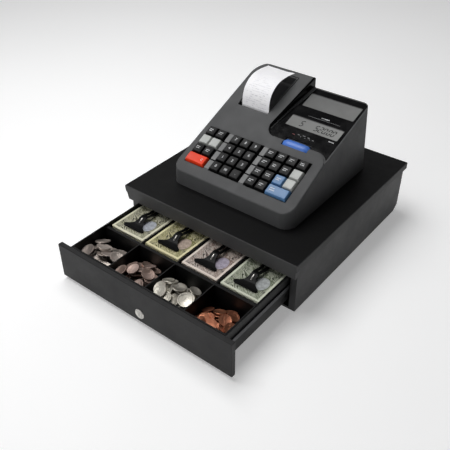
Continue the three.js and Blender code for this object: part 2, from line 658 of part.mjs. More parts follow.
// Outline of one screen with its rounded corners.
function screenOutline({ low, high, left, right }, shrink = 0) {
  const [near, far] = [left + shrink, right - shrink];
  const [front, rear] = [alongDisplay(low) + shrink, alongDisplay(high) - shrink];
  const radius = SCREEN_CORNER - shrink;
  return [
    ...arc(far - radius, rear - radius, radius, 0, 90, 4),
    ...arc(near + radius, rear - radius, radius, 90, 180, 4),
    ...arc(near + radius, front + radius, radius, 180, 270, 4),
    ...arc(far - radius, front + radius, radius, 270, 360, 4),
  ];
}

// Gloss panel with a window over each screen and a notch round the mode dial.
function displayPanel() {
  const plate = prismZ(panelOutline(), -DISPLAY.recess + GAP, 0);
  const windows = SCREENS.map((screen) => prismZ(screenOutline(screen), -THROUGH, THROUGH));
  const notchHalf = DIAL.half + 0.8;
  const notchTop = alongDisplay(DIAL.y + DIAL.radius - 0.4);
  const dialNotch = box(DIAL.x - notchHalf, DIAL.x + notchHalf, notchTop - 30, notchTop, -THROUGH, THROUGH);
  return cut(plate, ...windows, dialNotch);
}

// Circuit board under the display, with the two LCD glasses standing up into the windows.
function displayModule() {
  const under = -DISPLAY.recess - HEAD.wall - 1;
  const reach = { left: 4, right: 102, low: alongDisplay(196), high: alongDisplay(281) - 5 };
  const plate = box(reach.left, reach.right, reach.low, reach.high, under - 2, under);
  const glasses = SCREENS.map((screen) => prismZ(screenOutline(screen, 0.5), under - 0.5, -0.7));
  return join(plate, ...glasses);
}

// Crowned thumb drum of the mode selector, on a shaft along X.
function modeDial() {
  const { half, radius, end, shaft } = DIAL;
  const steps = 10;
  const journal = half + 2.4;
  const profile = [[0, -journal], [shaft, -journal], [shaft, -half]];
  for (let i = 0; i <= steps; i += 1) {
    const share = -1 + (2 * i) / steps;
    const crown = Math.sqrt(Math.max(0, 1 - Math.abs(share) ** 5));
    profile.push([end + (radius - end) * crown, share * half]);
  }
  profile.push([shaft, half], [shaft, journal], [0, journal]);
  const geometry = new THREE.LatheGeometry(profile.map(([r, h]) => new THREE.Vector2(r, h)), 32);
  geometry.rotateZ(-Math.PI / 2);
  return geometry;
}

// Printer: feed block with two side plates and the spindle that carries the paper roll.
function printerUnit() {
  const { x } = PAPER;
  const half = ROLL.half + 2;
  const plate = 2;
  const side = [
    [196, 4], [274, 4], [274, ROLL.z + 8], [ROLL.y + 14, ROLL.z + 16], [ROLL.y - 18, ROLL.z + 16],
    [214, 74], [196, 74],
  ];
  const plates = [-1, 1].map((way) => {
    const near = x + way * half;
    const far = near + way * plate;
    return prismX(side, Math.min(near, far), Math.max(near, far));
  });
  const bed = box(x - half - plate, x + half + plate, 196, 216, 4, 40);
  const headBlock = box(x - half - plate, x + half + plate, 207, 214, 40, 70);
  const tie = box(x - half - plate, x + half + plate, 270, 274, 4, 20);
  const spindle = rod("x", ROLL.core - 2, 2 * half + 1, [x - half - 0.5, ROLL.y, ROLL.z], 16);
  return join(...plates, bed, headBlock, tie, spindle);
}

// Paper roll on its core, centred on its own axis.
function paperRoll() {
  const { radius, core, half } = ROLL;
  const round = rod("x", radius, 2 * half, [-half, 0, 0], 40);
  return cut(round, rod("x", core, 2 * half + 2, [-half - 1, 0, 0], 20));
}

// Sunk lid over the roll: a floor with three walls, hinged at its rear edge.
function printerCover() {
  const { depth } = POCKET;
  const { gap, rearGap, skin, lip } = COVER;
  const slab = (from, to) => {
    const side = [
      [POCKET.front, deckZ(POCKET.front) - from], [POCKET.back + 5, deckZ(POCKET.back + 5) - from],
      [POCKET.back + 5, deckZ(POCKET.back + 5) - to], [POCKET.front, deckZ(POCKET.front) - to],
    ];
    return prismX(side.reverse(), -120, 0);
  };
  const walls = prismZ(pocketOutline(POCKET.front + lip, gap, rearGap), 40, 180);
  const room = prismZ(pocketOutline(POCKET.front, gap + skin, rearGap + skin), 40, 180);
  return cut(walls.intersect(slab(0.4, depth + skin)), room.intersect(slab(-THROUGH, depth)));
}

// Receipt strip: straight up out of the slot, over in an arch and down behind the cover.
function receiptPaper() {
  const route = new THREE.CatmullRomCurve3([
    [203.3, 87], [203.7, 95], [204.8, 107.5], [209.5, 120.5], [221, 131.2], [236, 136.6], [252, 137.4],
    [266, 136.4], [278, 135],
  ].map(([y, z]) => new THREE.Vector3(0, y, z)));
  const steps = 22;
  const half = PAPER.thick / 2;
  const over = [];
  const under = [];
  for (let i = 0; i <= steps; i += 1) {
    const point = route.getPoint(i / steps);
    const along = route.getTangent(i / steps);
    over.push([point.y - along.z * half, point.z + along.y * half]);
    under.push([point.y + along.z * half, point.z - along.y * half]);
  }
  return prismX([...under, ...over.reverse()], PAPER.x - PAPER.half, PAPER.x + PAPER.half);
}

// ---------------------------------------------------------------- keyboard, drawn flat on the deck
function keyboardBase() {
  const { left, margin, board, boardDepth } = KEYBOARD;
  const right = left + keyboardWidth;
  const rear = keyboardFront + keyboardDepth;
  const under = -boardDepth - board;
  const plate = box(left - margin, right + margin, keyboardFront - margin, rear + margin, under, -boardDepth);
  const hole = KEY.stem / 2 + 0.4;
  const holes = keys().map(({ x, y }) =>
    box(x - hole, x + hole, y - hole, y + hole, under - 1, 1 - boardDepth));
  return cut(plate, ...holes);
}

// Colour of each key, by cluster, row (front to back) and column; a wide key covers two columns.
function keys() {
  const digits = [["0", "00", "point"], ["1", "2", "3"], ["4", "5", "6"], ["7", "8", "9"]];
  const list = [];
  const add = (name, cluster, row, column, material, wide = 1) => {
    const x = clusterLeft(cluster) + (column + wide / 2) * KEY.pitchX;
    const y = keyboardFront + (row + 0.5) * KEY.pitchY;
    list.push({ name: `key_${name}`, x, y, wide, material });
  };
  for (let row = 0; row < KEYBOARD.rows; row += 1) {
    if (row === 0) add("clear", 0, row, 0, "redKey", 2);
    for (let column = 0; row > 0 && column < 2; column += 1) {
      add(`left_${row}_${column}`, 0, row, column, row === 2 ? "lightKey" : "blackKey");
    }
    digits[row].forEach((digit, column) => add(digit, 1, row, column, "blackKey"));
    for (let column = 0; column < 4; column += 1) {
      const isTotal = row === 0 && column >= 2;
      if (isTotal && column === 2) add("total", 2, row, column, "blueKey", 2);
      const light = column === 3 && (row === 1 || row === 2);
      const blue = column === 2 && row === 1;
      const colour = light ? "lightKey" : blue ? "blueKey" : "blackKey";
      if (!isTotal) add(`right_${row}_${column}`, 2, row, column, colour);
    }
  }
  return list;
}

// Keycap that narrows upwards, with a square stem under it that runs in the keyboard base.
function keycap(wide) {
  const halfX = (wide * KEY.pitchX - KEY.gap) / 2;
  const halfY = (KEY.pitchY - KEY.gap) / 2;
  const { rise, draw, sink, stem } = KEY;
  const level = (inset, z) => [
    [-halfX + inset, -halfY + inset, z], [halfX - inset, -halfY + inset, z],
    [halfX - inset, halfY - inset, z], [-halfX + inset, halfY - inset, z],
  ];
  const levels = [level(0, -sink), level(0, 1), level(draw, rise - 0.6), level(draw + 0.6, rise)];
  const cap = loftSolid(levels, [0, 1]);
  const post = stem / 2;
  return join(cap, box(-post, post, -post, post, -KEYBOARD.boardDepth - KEYBOARD.board - 1, -sink + 0.5));
}

// ---------------------------------------------------------------- assembly
const cabinet = new THREE.Group();
cabinet.add(
  mesh("cabinet_lid", cabinetLid(), "blackSteel"),
  mesh("cabinet_body", cabinetBody(), "greySteel"),
  mesh("foot_left", foot(-1), "rubber"),
  mesh("foot_right", foot(1), "rubber"),
  mesh("rail_left", rail(-1), "brightSteel"),
  mesh("rail_right", rail(1), "brightSteel"),
  mesh("drawer_latch", drawerLatch(), "brightSteel"),
);

const drawer = new THREE.Group();
drawer.position.y = -DRAWER_OPEN;
drawer.add(
  mesh("drawer_front", drawerPanel(), "greySteel"),
  mesh("drawer_box", drawerBox(), "greySteel"),
  mesh("till_tray", tillTray(), "tillPlastic"),
  mesh("lock_housing", lockHousing(), "brightSteel"),
  mesh("lock_plug", lockPlug(), "brightSteel"),
);
for (let column = 0; column < TILL.columns; column += 1) {
  const clip = mesh(`bill_clip_${column + 1}`, billClip(), "clipPlastic");
  clip.position.x = tillCellCentre(column);
  drawer.add(clip);
}

const head = new THREE.Group();
head.position.z = LID.top + GAP;
head.add(
  mesh("head_case", headCase(), "greyPlastic"),
  mesh("head_base", headBase(), "board"),
  mesh("printer_unit", printerUnit(), "board"),
  mesh("printer_cover", printerCover(), "greyPlastic"),
  mesh("receipt_paper", receiptPaper(), "paper"),
);
const roll = mesh("paper_roll", paperRoll(), "paper");
roll.position.set(PAPER.x, ROLL.y, ROLL.z);
const dial = new THREE.Mesh(modeDial(), new THREE.MeshStandardMaterial(materials.dialBlue));
dial.name = "mode_dial";
dial.position.set(DIAL.x, dialSeat.y, dialSeat.z);
head.add(roll, dial);

const displayFace = new THREE.Group();
displayFace.position.set(0, DISPLAY.backY, DISPLAY.backZ);
displayFace.rotation.x = degrees(DISPLAY.slope);
displayFace.add(
  mesh("display_panel", displayPanel(), "gloss"),
  mesh("display_module", displayModule(), "lcd"),
);

const keyboard = new THREE.Group();
keyboard.position.set(0, HEAD.front, HEAD.frontHeight);
keyboard.rotation.x = degrees(DECK_SLOPE);
keyboard.add(mesh("keyboard_base", keyboardBase(), "board"));
for (const { name, x, y, wide, material } of keys()) {
  const key = mesh(name, keycap(wide), material);
  key.position.set(x, y, 0);
  keyboard.add(key);
}
head.add(displayFace, keyboard);

// The origin is the middle of the whole footprint, from the lock's face to the back of the lid.
const register = new THREE.Group();
const frontMost = -DRAWER_OPEN - LOCK.proud - 0.2;
register.position.y = -(LID.depth + frontMost) / 2;
register.add(cabinet, drawer, head);

export default register;
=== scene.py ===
"""Looks of a compact cash register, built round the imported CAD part.

Row frame: metres, +Z up, +X to the operator's right, +Y to the back, Z = 0 on the counter.
Lengths are millimetres until they pass through mm() or a Frame, unless a comment says metres.
"""
import math
import random

import bmesh
import bpy
import numpy as np
from mathutils import Matrix, Vector


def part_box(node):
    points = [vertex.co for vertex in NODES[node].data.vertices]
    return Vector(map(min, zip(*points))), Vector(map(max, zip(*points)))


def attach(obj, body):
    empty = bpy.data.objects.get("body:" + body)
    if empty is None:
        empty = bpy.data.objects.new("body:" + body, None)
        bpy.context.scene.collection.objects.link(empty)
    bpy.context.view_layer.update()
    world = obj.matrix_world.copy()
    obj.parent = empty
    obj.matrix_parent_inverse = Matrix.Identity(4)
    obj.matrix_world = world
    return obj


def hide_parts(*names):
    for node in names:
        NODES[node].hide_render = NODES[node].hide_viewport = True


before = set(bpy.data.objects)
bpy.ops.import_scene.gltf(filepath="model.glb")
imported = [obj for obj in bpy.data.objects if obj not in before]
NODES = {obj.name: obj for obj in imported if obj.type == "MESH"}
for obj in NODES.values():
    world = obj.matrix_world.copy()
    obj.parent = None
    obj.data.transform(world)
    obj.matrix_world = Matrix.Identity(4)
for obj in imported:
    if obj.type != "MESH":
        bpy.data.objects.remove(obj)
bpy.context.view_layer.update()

scene = bpy.context.scene
scene.view_settings.view_transform = "Standard"
MM = 0.001


def mm(*values):
    """Millimetres as a vector in metres."""
    return Vector(values) * MM


# ---------------- camera, stage and light
VIEW = {
    "target": (7.6, -58.7, 73.1),
    "azimuth": 38.02,
    "elevation": 36.99,
    "distance": 1000,
    "lens": 50.88,
}


def towards(azimuth, elevation):
    """Unit vector to a viewer who stands azimuth degrees to the right of the front."""
    a, e = math.radians(azimuth), math.radians(elevation)
    return Vector((math.sin(a) * math.cos(e), -math.cos(a) * math.cos(e), math.sin(e)))


def aim(obj, target):
    obj.rotation_euler = (Vector(target) - obj.location).to_track_quat("-Z", "Y").to_euler()


def link(obj):
    scene.collection.objects.link(obj)
    return obj


camera = link(bpy.data.objects.new("camera", bpy.data.cameras.new("camera")))
camera.data.lens = VIEW["lens"]
camera.data.sensor_width = 36
camera.data.clip_start = 0.01
target = mm(*VIEW["target"])
camera.location = target + towards(VIEW["azimuth"], VIEW["elevation"]) * VIEW["distance"] * MM
aim(camera, target)
scene.camera = camera

SOFTBOXES = {
    # name: place, (width, height) in metres, watts
    "key_top": ((-0.5, -0.1, 1.5), (1.2, 1.0), 18.0),
    "fill_front": ((-0.3, -1.9, 0.75), (1.2, 0.6), 6.0),
    "rim_back": ((0.9, 1.5, 1.1), (1.2, 0.5), 1.0),
}
for name, (place, size, watts) in SOFTBOXES.items():
    light = bpy.data.lights.new(name, "AREA")
    light.shape = "RECTANGLE"
    light.size, light.size_y = size
    light.energy = watts
    lamp = link(bpy.data.objects.new(name, light))
    lamp.location = place
    aim(lamp, (0, -0.05, 0.1))


# ---------------- material toolkit
class Tree:
    """The nodes of one material; values given to a node may be numbers, colours or sockets."""

    def __init__(self, name, **constants):
        self.material = bpy.data.materials.new(name)
        self.material.use_nodes = True
        self.tree = self.material.node_tree
        self.tree.nodes.clear()
        self.shader = self.node("ShaderNodeBsdfPrincipled")
        output = self.node("ShaderNodeOutputMaterial")
        self.tree.links.new(self.shader.outputs[0], output.inputs[0])
        for key, value in constants.items():
            self.shade(key.replace("_", " "), value)

    def node(self, kind, values=None, **settings):
        made = self.tree.nodes.new(kind)
        for key, value in settings.items():
            setattr(made, key, value)
        for key, value in (values or {}).items():
            self.feed(made.inputs[key], value)
        return made

    def feed(self, socket, value):
        if isinstance(value, bpy.types.NodeSocket):
            self.tree.links.new(value, socket)
        elif isinstance(value, (tuple, list)) and len(value) == 3 and socket.type == "RGBA":
            socket.default_value = (*value, 1)
        else:
            socket.default_value = value

    def shade(self, key, value):
        found = [s for s in self.shader.inputs if s.name.lower() == key.lower()]
        self.feed(found[0], value)

    def math(self, operation, *values, clamp=False):
        made = self.node("ShaderNodeMath", dict(enumerate(values)), operation=operation)
        made.use_clamp = clamp
        return made.outputs[0]

    def vector(self, operation, *values):
        made = self.node("ShaderNodeVectorMath", dict(enumerate(values)), operation=operation)
        return made.outputs["Value" if operation in ("LENGTH", "DOT_PRODUCT") else "Vector"]

    def mix(self, factor, first, second):
        made = self.node("ShaderNodeMix", data_type="RGBA")
        self.feed(made.inputs[0], factor)
        self.feed(made.inputs[6], first)
        self.feed(made.inputs[7], second)
        return made.outputs[2]

    def span(self, value, low, high, to_low=0.0, to_high=1.0):
        values = {"Value": value, 1: low, 2: high, 3: to_low, 4: to_high}
        return self.node("ShaderNodeMapRange", values, clamp=True).outputs[0]

    def place(self):
        return self.node("ShaderNodeTexCoord").outputs["Object"]

    def stretched(self, vector, scale):
        return self.node("ShaderNodeMapping", {"Vector": vector, "Scale": scale}).outputs[0]

    def noise(self, size, detail=2.0, rough=0.5, vector=None):
        """Noise whose blobs are about size millimetres wide."""
        values = {"Scale": 1 / (size * MM), "Detail": detail, "Roughness": rough}
        return self.node("ShaderNodeTexNoise", {"Vector": vector or self.place(), **values}).outputs[0]

    def bump(self, height, depth):
        """Normal of a height from 0 to 1 that stands depth millimetres."""
        values = {"Strength": 1.0, "Distance": depth * MM, "Height": height}
        return self.node("ShaderNodeBump", values).outputs[0]

    def edges(self, radius):
        """0 on flat faces, rising to 1 on edges, over about radius millimetres."""
        rounded = self.node("ShaderNodeBevel", {"Radius": radius * MM}, samples=4).outputs[0]
        true = self.node("ShaderNodeNewGeometry").outputs["Normal"]
        return self.span(self.vector("DOT_PRODUCT", rounded, true), 0.995, 0.86)


def shifted(colour, factor):
    return tuple(min(1.0, c * factor) for c in colour)


def moulded(name, colour, roughness, grain=0.45, depth=0.02, wear=1.6, edge=0.5, **constants):
    """Moulded plastic: spark-eroded grain, uneven tone, handled patches and slightly polished edges,
    lighter in colour as wear and as a painted highlight.
    """
    t = Tree(name, **constants)
    cloud = t.noise(38, 3.0)
    fine = t.noise(grain, 2.0, 0.6)
    tone = t.mix(t.span(cloud, 0.3, 0.7), shifted(colour, 0.9), shifted(colour, 1.08))
    tone = t.mix(t.span(fine, 0.35, 0.75, 0.0, 0.35), tone, shifted(colour, 1.25))
    # painted highlight and wear: edges take a lighter colour, set by the edge factor
    worn_and_lit_edges = t.math("MULTIPLY", t.edges(edge), t.span(t.noise(4.5, 3.0), 0.38, 0.62, 0.15, 0.8))
    t.shade("Base Color", t.mix(worn_and_lit_edges, tone, shifted(colour, wear)))
    handled = t.span(t.noise(24, 4.0, 0.65), 0.35, 0.7, roughness - 0.06, roughness + 0.08)
    t.shade("Roughness", t.math("SUBTRACT", handled, t.math("MULTIPLY", worn_and_lit_edges, 0.08)))
    t.shade("Normal", t.bump(fine, depth))
    return t.material


BARE = (0.12, 0.12, 0.125)  # steel that shows through thin paint


def painted(name, colour, roughness, top=None, **constants):
    """Powder-coated steel: orange peel, faint dust and rub marks, paint thinned on the folded edges.

    Where top is given, it is the colour of the faces that look up: painted shade that makes them darker
    than the sides.
    """
    t = Tree(name, **constants)
    normal = t.node("ShaderNodeSeparateXYZ", {0: t.node("ShaderNodeNewGeometry").outputs["Normal"]})
    # painted shade: faces that look up take the darker top colour, the sides keep the lighter one
    up = t.span(normal.outputs[2], 0.75, 0.95)

    def tone_with_shaded_top(factor):
        return t.mix(up, shifted(colour, factor), shifted(top or colour, factor))

    peel = t.noise(1.5, 2.0, 0.55)
    cloud = t.noise(70, 3.0)
    tone = t.mix(t.span(cloud, 0.3, 0.7), tone_with_shaded_top(0.88), tone_with_shaded_top(1.12))
    dust = t.span(t.noise(0.9, 1.0), 0.74, 0.8, 0.0, 0.18)
    tone = t.mix(dust, tone, tone_with_shaded_top(2.2))
    rubbed = t.math("MULTIPLY", t.edges(0.55), t.span(t.noise(7, 4.0, 0.7), 0.45, 0.66, 0.1, 0.55))
    t.shade("Base Color", t.mix(rubbed, tone, BARE))
    hands = t.span(t.noise(30, 5.0, 0.7), 0.3, 0.75, roughness - 0.05, roughness + 0.09)
    t.shade("Roughness", hands)
    t.shade("Normal", t.bump(peel, 0.022))
    return t.material


def brushed(name, colour, roughness, along, **constants):
    """Bare metal, brushed along the axis with the smallest scale in along, and dulled by fingers."""
    t = Tree(name, Metallic=1.0, **constants)
    lines = t.noise(6, 3.0, 0.7, t.stretched(t.place(), along))
    dull = t.noise(9, 3.0)
    t.shade("Base Color", t.mix(t.span(dull, 0.3, 0.75), colour, shifted(colour, 0.72)))
    t.shade("Roughness", t.span(lines, 0.2, 0.8, roughness - 0.08, roughness + 0.14))
    t.shade("Normal", t.bump(lines, 0.012))
    return t.material


LCD = {
    # where things lie on the two screens, in metres along the part's own axes
    "rears": (0.1242, 0.1786),
    "between": (0.136, 0.132),
    "shadow": (0.0024, 0.0012),
    "across": (0.0, 0.1),
}


def lcd_glass():
    """Liquid-crystal glass, paler towards the operator's right as a painted highlight, with a painted
    shadow under its rear bezel.
    """
    t = Tree("lcd_glass", Coat_Weight=0.5, Coat_Roughness=0.12, Roughness=0.4)
    split = t.node("ShaderNodeSeparateXYZ", {0: t.place()})
    across, along = split.outputs[0], split.outputs[1]
    lower = t.span(along, *LCD["between"])
    # painted highlight: each screen is paler towards the operator's right
    pale = t.mix(lower, (0.16, 0.162, 0.158), (0.225, 0.228, 0.22))
    dim = t.mix(lower, (0.10, 0.102, 0.099), (0.15, 0.152, 0.147))
    tone = t.mix(t.span(across, *LCD["across"]), dim, pale)
    cloud = t.noise(16, 2.0)
    tone = t.mix(t.span(cloud, 0.3, 0.7, 0.0, 0.16), tone, (0.27, 0.27, 0.265))
    # painted shadow along the rear edge of each screen, under its bezel
    shadows = []
    for rear in LCD["rears"]:
        inward = t.math("SUBTRACT", rear, along)
        shadows.append(t.math("MULTIPLY", t.span(inward, *LCD["shadow"]), t.span(inward, -0.001, 0.0)))
    t.shade("Base Color", t.mix(t.math("MAXIMUM", *shadows), tone, (0.035, 0.035, 0.036)))
    t.shade("Normal", t.bump(t.noise(30, 1.0), 0.004))
    return t.material


def gloss(level):
    """Setting that weakens the mirror layer of a dull surface."""
    return {"Specular_IOR_Level": level}


FINE = {"grain": 0.4, "depth": 0.012, "edge": 0.35}
INK = {"grain": 0.3, "depth": 0.004, "wear": 1.0}
FINISHES = {
    # name: (recipe, colour, roughness, other settings of the recipe)
    # the lid's top colour is painted shade: its upward faces are painted far darker than its sides
    "lid_steel": (painted, (0.062, 0.062, 0.0625), 0.55, {"top": (0.0028, 0.0028, 0.003), **gloss(0.14)}),
    "body_steel": (painted, (0.042, 0.042, 0.0425), 0.5, gloss(0.25)),
    "front_steel": (painted, (0.0125, 0.0125, 0.0128), 0.5, gloss(0.25)),
    "box_steel": (painted, (0.007, 0.007, 0.0072), 0.5, gloss(0.25)),
    "bright_steel": (brushed, (0.56, 0.57, 0.58), 0.3, {"along": (30, 1, 30)}),
    "runner_steel": (brushed, (0.085, 0.086, 0.09), 0.42, {"along": (30, 1, 30)}),
    "lock_chrome": (brushed, (0.72, 0.7, 0.66), 0.26, {"along": (14, 14, 14)}),
    "rubber": (moulded, (0.012, 0.012, 0.012), 0.85, {"grain": 0.8, "depth": 0.05}),
    # the black plastics take large edge factors: their light edges are painted highlights as well as wear
    "till_plastic": (moulded, (0.0045, 0.0045, 0.0047), 0.5, {"grain": 0.6, "wear": 9.0, **gloss(0.2)}),
    "clip_plastic": (
        moulded, (0.0022, 0.0022, 0.0023), 0.4, {"grain": 1.2, "depth": 0.012, "wear": 3.0, **gloss(0.12)},
    ),
    "case_plastic": (
        moulded, (0.068, 0.069, 0.0705), 0.55, {"grain": 0.5, "depth": 0.03, "wear": 1.35, **gloss(0.25)},
    ),
    "spacer_plastic": (moulded, (0.125, 0.127, 0.127), 0.45, {"grain": 0.5, "wear": 1.3}),
    "cover_plastic": (moulded, (0.058, 0.059, 0.061), 0.5, {"grain": 0.5, "depth": 0.03, "wear": 1.4}),
    "base_plastic": (moulded, (0.006, 0.006, 0.0063), 0.7, {"grain": 0.6, "depth": 0.03, **gloss(0.25)}),
    "panel_gloss": (
        moulded, (0.003, 0.003, 0.0033), 0.14, {"grain": 20, "depth": 0.004, "wear": 2.0, **gloss(0.25)},
    ),
    "key_black": (moulded, (0.003, 0.003, 0.0032), 0.34, {"wear": 7.0, **FINE, **gloss(0.14)}),
    "key_light": (moulded, (0.42, 0.435, 0.415), 0.4, {"wear": 1.12, **FINE}),
    "key_blue": (moulded, (0.075, 0.185, 0.37), 0.36, {"wear": 1.4, **FINE}),
    "key_red": (moulded, (0.78, 0.042, 0.006), 0.34, {"wear": 1.2, **FINE, **gloss(0.25)}),
    "dial_blue": (moulded, (0.06, 0.17, 0.56), 0.38, {"grain": 0.5, "depth": 0.015, "wear": 1.3}),
    "paper": (moulded, (0.86, 0.855, 0.87), 0.8, {"grain": 0.25, "depth": 0.012, "wear": 1.02}),
    "legend_ink": (moulded, (0.60, 0.61, 0.62), 0.5, INK),
    "faint_ink": (moulded, (0.34, 0.345, 0.35), 0.5, INK),
    "segment_ink": (moulded, (0.004, 0.004, 0.0045), 0.5, {**INK, "depth": 0.002, **gloss(0.1)}),
    "mark_red": (moulded, (0.42, 0.12, 0.12), 0.5, INK),
}
MATERIALS = {
    name: recipe(name, colour, roughness, **settings)
    for name, (recipe, colour, roughness, settings) in FINISHES.items()
}
MATERIALS["lcd_glass"] = lcd_glass()


# ---------------- mesh toolkit
def finish_mesh(name, bm, materials, sharp=35):
    bmesh.ops.recalc_face_normals(bm, faces=bm.faces)
    mesh = bpy.data.meshes.new(name)
    for face in bm.faces:
        face.smooth = True
    bm.to_mesh(mesh)
    bm.free()
    mesh.set_sharp_from_angle(angle=math.radians(sharp))
    for material in materials:
        mesh.materials.append(material)
    return mesh


def piece(name, bm, materials, body, replaces=(), sharp=35):
    """A new visible piece that rides on a body, in place of any CAD nodes it replaces.

    A material is one of MATERIALS by name, or a material made for this piece.
    """
    materials = [MATERIALS.get(m, m) for m in materials]
    obj = link(bpy.data.objects.new(name, finish_mesh(name, bm, materials, sharp)))
    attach(obj, body)
    if replaces:
        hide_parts(*replaces)
    return obj


def circle(radius, z, segments, x=0, y=0):
    """Points of a circle, counter-clockwise."""
    angles = [2 * math.pi * i / segments for i in range(segments)]
    return [Vector((x + radius * math.cos(a), y + radius * math.sin(a), z)) for a in angles]


def rounded_rectangle(half_x, half_y, radius, z, corner_steps=5):
    """Points of a rounded rectangle, counter-clockwise."""
    points = []
    for quarter in range(4):
        cx = (half_x - radius) * (1 if quarter in (0, 3) else -1)
        cy = (half_y - radius) * (1 if quarter in (0, 1) else -1)
        for step in range(corner_steps + 1):
            angle = math.pi / 2 * (quarter + step / corner_steps)
            points.append(Vector((cx + radius * math.cos(angle), cy + radius * math.sin(angle), z)))
    return points


def add_rings(bm, rings, material=0):
    """A closed skin through rings of points, with its two ends capped."""
    made = [[bm.verts.new(p) for p in ring] for ring in rings]
    count = len(made[0])
    for low, high in zip(made, made[1:]):
        for i in range(count):
            j = (i + 1) % count
            bm.faces.new((low[i], low[j], high[j], high[i])).material_index = material
    bm.faces.new(made[0][::-1]).material_index = material
    bm.faces.new(made[-1]).material_index = material


def add_sections(bm, half_x, half_y, sections, x=0, y=0, corner_steps=5):
    """A block skinned through rounded rectangles, each given as (inset, height, corner radius)."""
    rings = []
    for inset, z, radius in sections:
        ring = rounded_rectangle(half_x - inset, half_y - inset, radius, z, corner_steps)
        rings.append([p + Vector((x, y, 0)) for p in ring])
    add_rings(bm, rings)


def add_plate(bm, outline, low, high, material=0):
    """A flat plate from an outline of (x, y) points."""
    rings = [[Vector((x, y, z)) for x, y in outline] for z in (low, high)]
    add_rings(bm, rings, material)


def add_sheet(bm, uv, rows, columns, spot, edge_material=0):
    """A thin closed sheet over a grid; spot(side, i, j) is a point and its place in the print."""
    grid = {}
    for side in (0, 1):
        for i in range(rows + 1):
            for j in range(columns + 1):
                point, in_print = spot(side, i, j)
                grid[side, i, j] = (bm.verts.new(point * MM), in_print)

    def face(material, *keys):
        made = bm.faces.new([grid[k][0] for k in keys])
        made.material_index = material
        for loop, key in zip(made.loops, keys):
            loop[uv].uv = grid[key][1]

    for i in range(rows):
        for j in range(columns):
            face(0, (0, i, j), (0, i + 1, j), (0, i + 1, j + 1), (0, i, j + 1))
            face(0, (1, i, j), (1, i, j + 1), (1, i + 1, j + 1), (1, i + 1, j))
        face(edge_material, (0, i, 0), (1, i, 0), (1, i + 1, 0), (0, i + 1, 0))
        face(edge_material, (0, i, columns), (0, i + 1, columns), (1, i + 1, columns), (1, i, columns))
    for j in range(columns):
        face(edge_material, (0, 0, j), (0, 0, j + 1), (1, 0, j + 1), (1, 0, j))
        face(edge_material, (0, rows, j), (1, rows, j), (1, rows, j + 1), (0, rows, j + 1))


class Frame:
    """A flat face of the part: +X to the right, +Y up the slope and +Z out of it, in millimetres."""

    def __init__(self, origin, slope):
        self.matrix = Matrix.Translation(mm(*origin)) @ Matrix.Rotation(math.radians(slope), 4, "X")
        self.matrix = self.matrix @ Matrix.Scale(MM, 4)

    def box(self, node):
        """Lowest and highest corner of a CAD node, measured in this frame."""
        inverse = self.matrix.inverted()
        corners = np.array([inverse @ v.co for v in NODES[node].data.vertices])
        return Vector(corners.min(0)), Vector(corners.max(0))

    def settle(self, bm, centre=(0, 0, 0)):
        bmesh.ops.transform(bm, matrix=self.matrix @ Matrix.Translation(centre), verts=bm.verts)


DECK = Frame((0, -44.4, 127.3), 24.5)
DISPLAY = Frame((0, 184.6, 212.3), 17.5)


def smoothing_group():
    """Node group that welds a CAD mesh and shades it smooth, with its corners kept sharp."""
    group = bpy.data.node_groups.new("weld_and_smooth", "GeometryNodeTree")
    group.interface.new_socket("Geometry", in_out="INPUT", socket_type="NodeSocketGeometry")
    group.interface.new_socket("Geometry", in_out="OUTPUT", socket_type="NodeSocketGeometry")
    nodes, links = group.nodes, group.links
    start = nodes.new("NodeGroupInput")
    weld = nodes.new("GeometryNodeMergeByDistance")
    weld.inputs["Distance"].default_value = 0.00002
    faces = nodes.new("GeometryNodeSetShadeSmooth")
    corners = nodes.new("GeometryNodeSetShadeSmooth")
    corners.domain = "EDGE"
    corners.inputs["Shade Smooth"].default_value = False
    angle = nodes.new("GeometryNodeInputMeshEdgeAngle")
    steep = nodes.new("FunctionNodeCompare")
    steep.operation = "GREATER_THAN"
    steep.inputs[1].default_value = math.radians(32)
    end = nodes.new("NodeGroupOutput")
    links.new(start.outputs[0], weld.inputs["Geometry"])
    links.new(weld.outputs["Geometry"], faces.inputs["Geometry"])
    links.new(faces.outputs[0], corners.inputs["Geometry"])
    links.new(angle.outputs["Unsigned Angle"], steep.inputs[0])
    links.new(steep.outputs[0], corners.inputs["Selection"])
    links.new(corners.outputs[0], end.inputs[0])
    return group


SMOOTHING = smoothing_group()


def dress(node, material, bevel=0.0, flat=True):
    """Finish a CAD node that stays visible: its material, and rounded edges of bevel millimetres."""
    obj = NODES[node]
    obj.data.materials.clear()
    obj.data.materials.append(MATERIALS[material])
    obj.modifiers.new("smooth", "NODES").node_group = SMOOTHING
    if flat:
        merge = obj.modifiers.new("merge", "DECIMATE")
        merge.decimate_type = "DISSOLVE"
        merge.angle_limit = math.radians(0.5)
    if bevel:
        edges = obj.modifiers.new("bevel", "BEVEL")
        edges.width = bevel * MM
        edges.segments = 3
        edges.limit_method = "ANGLE"
        edges.angle_limit = math.radians(40)
    normals = obj.modifiers.new("normals", "WEIGHTED_NORMAL")
    normals.keep_sharp = True
    return obj


# ---------------- stage
def stage_floor():
    """Pale floor that glows a little, so that it stays pale away from the lights."""
    t = Tree("floor", Roughness=0.9)
    cloud = t.span(t.noise(400, 2.0), 0.3, 0.7)
    t.shade("Base Color", t.mix(cloud, (0.86, 0.86, 0.86), (0.88, 0.88, 0.88)))
    t.shade("Emission Color", (1.0, 1.0, 1.0, 1.0))
    t.shade("Emission Strength", 0.3)
    bm = bmesh.new()
    bmesh.ops.create_grid(bm, x_segments=1, y_segments=1, size=9)
    floor = link(bpy.data.objects.new("floor", finish_mesh("floor", bm, [t.material])))
    floor.location.z = -0.0003


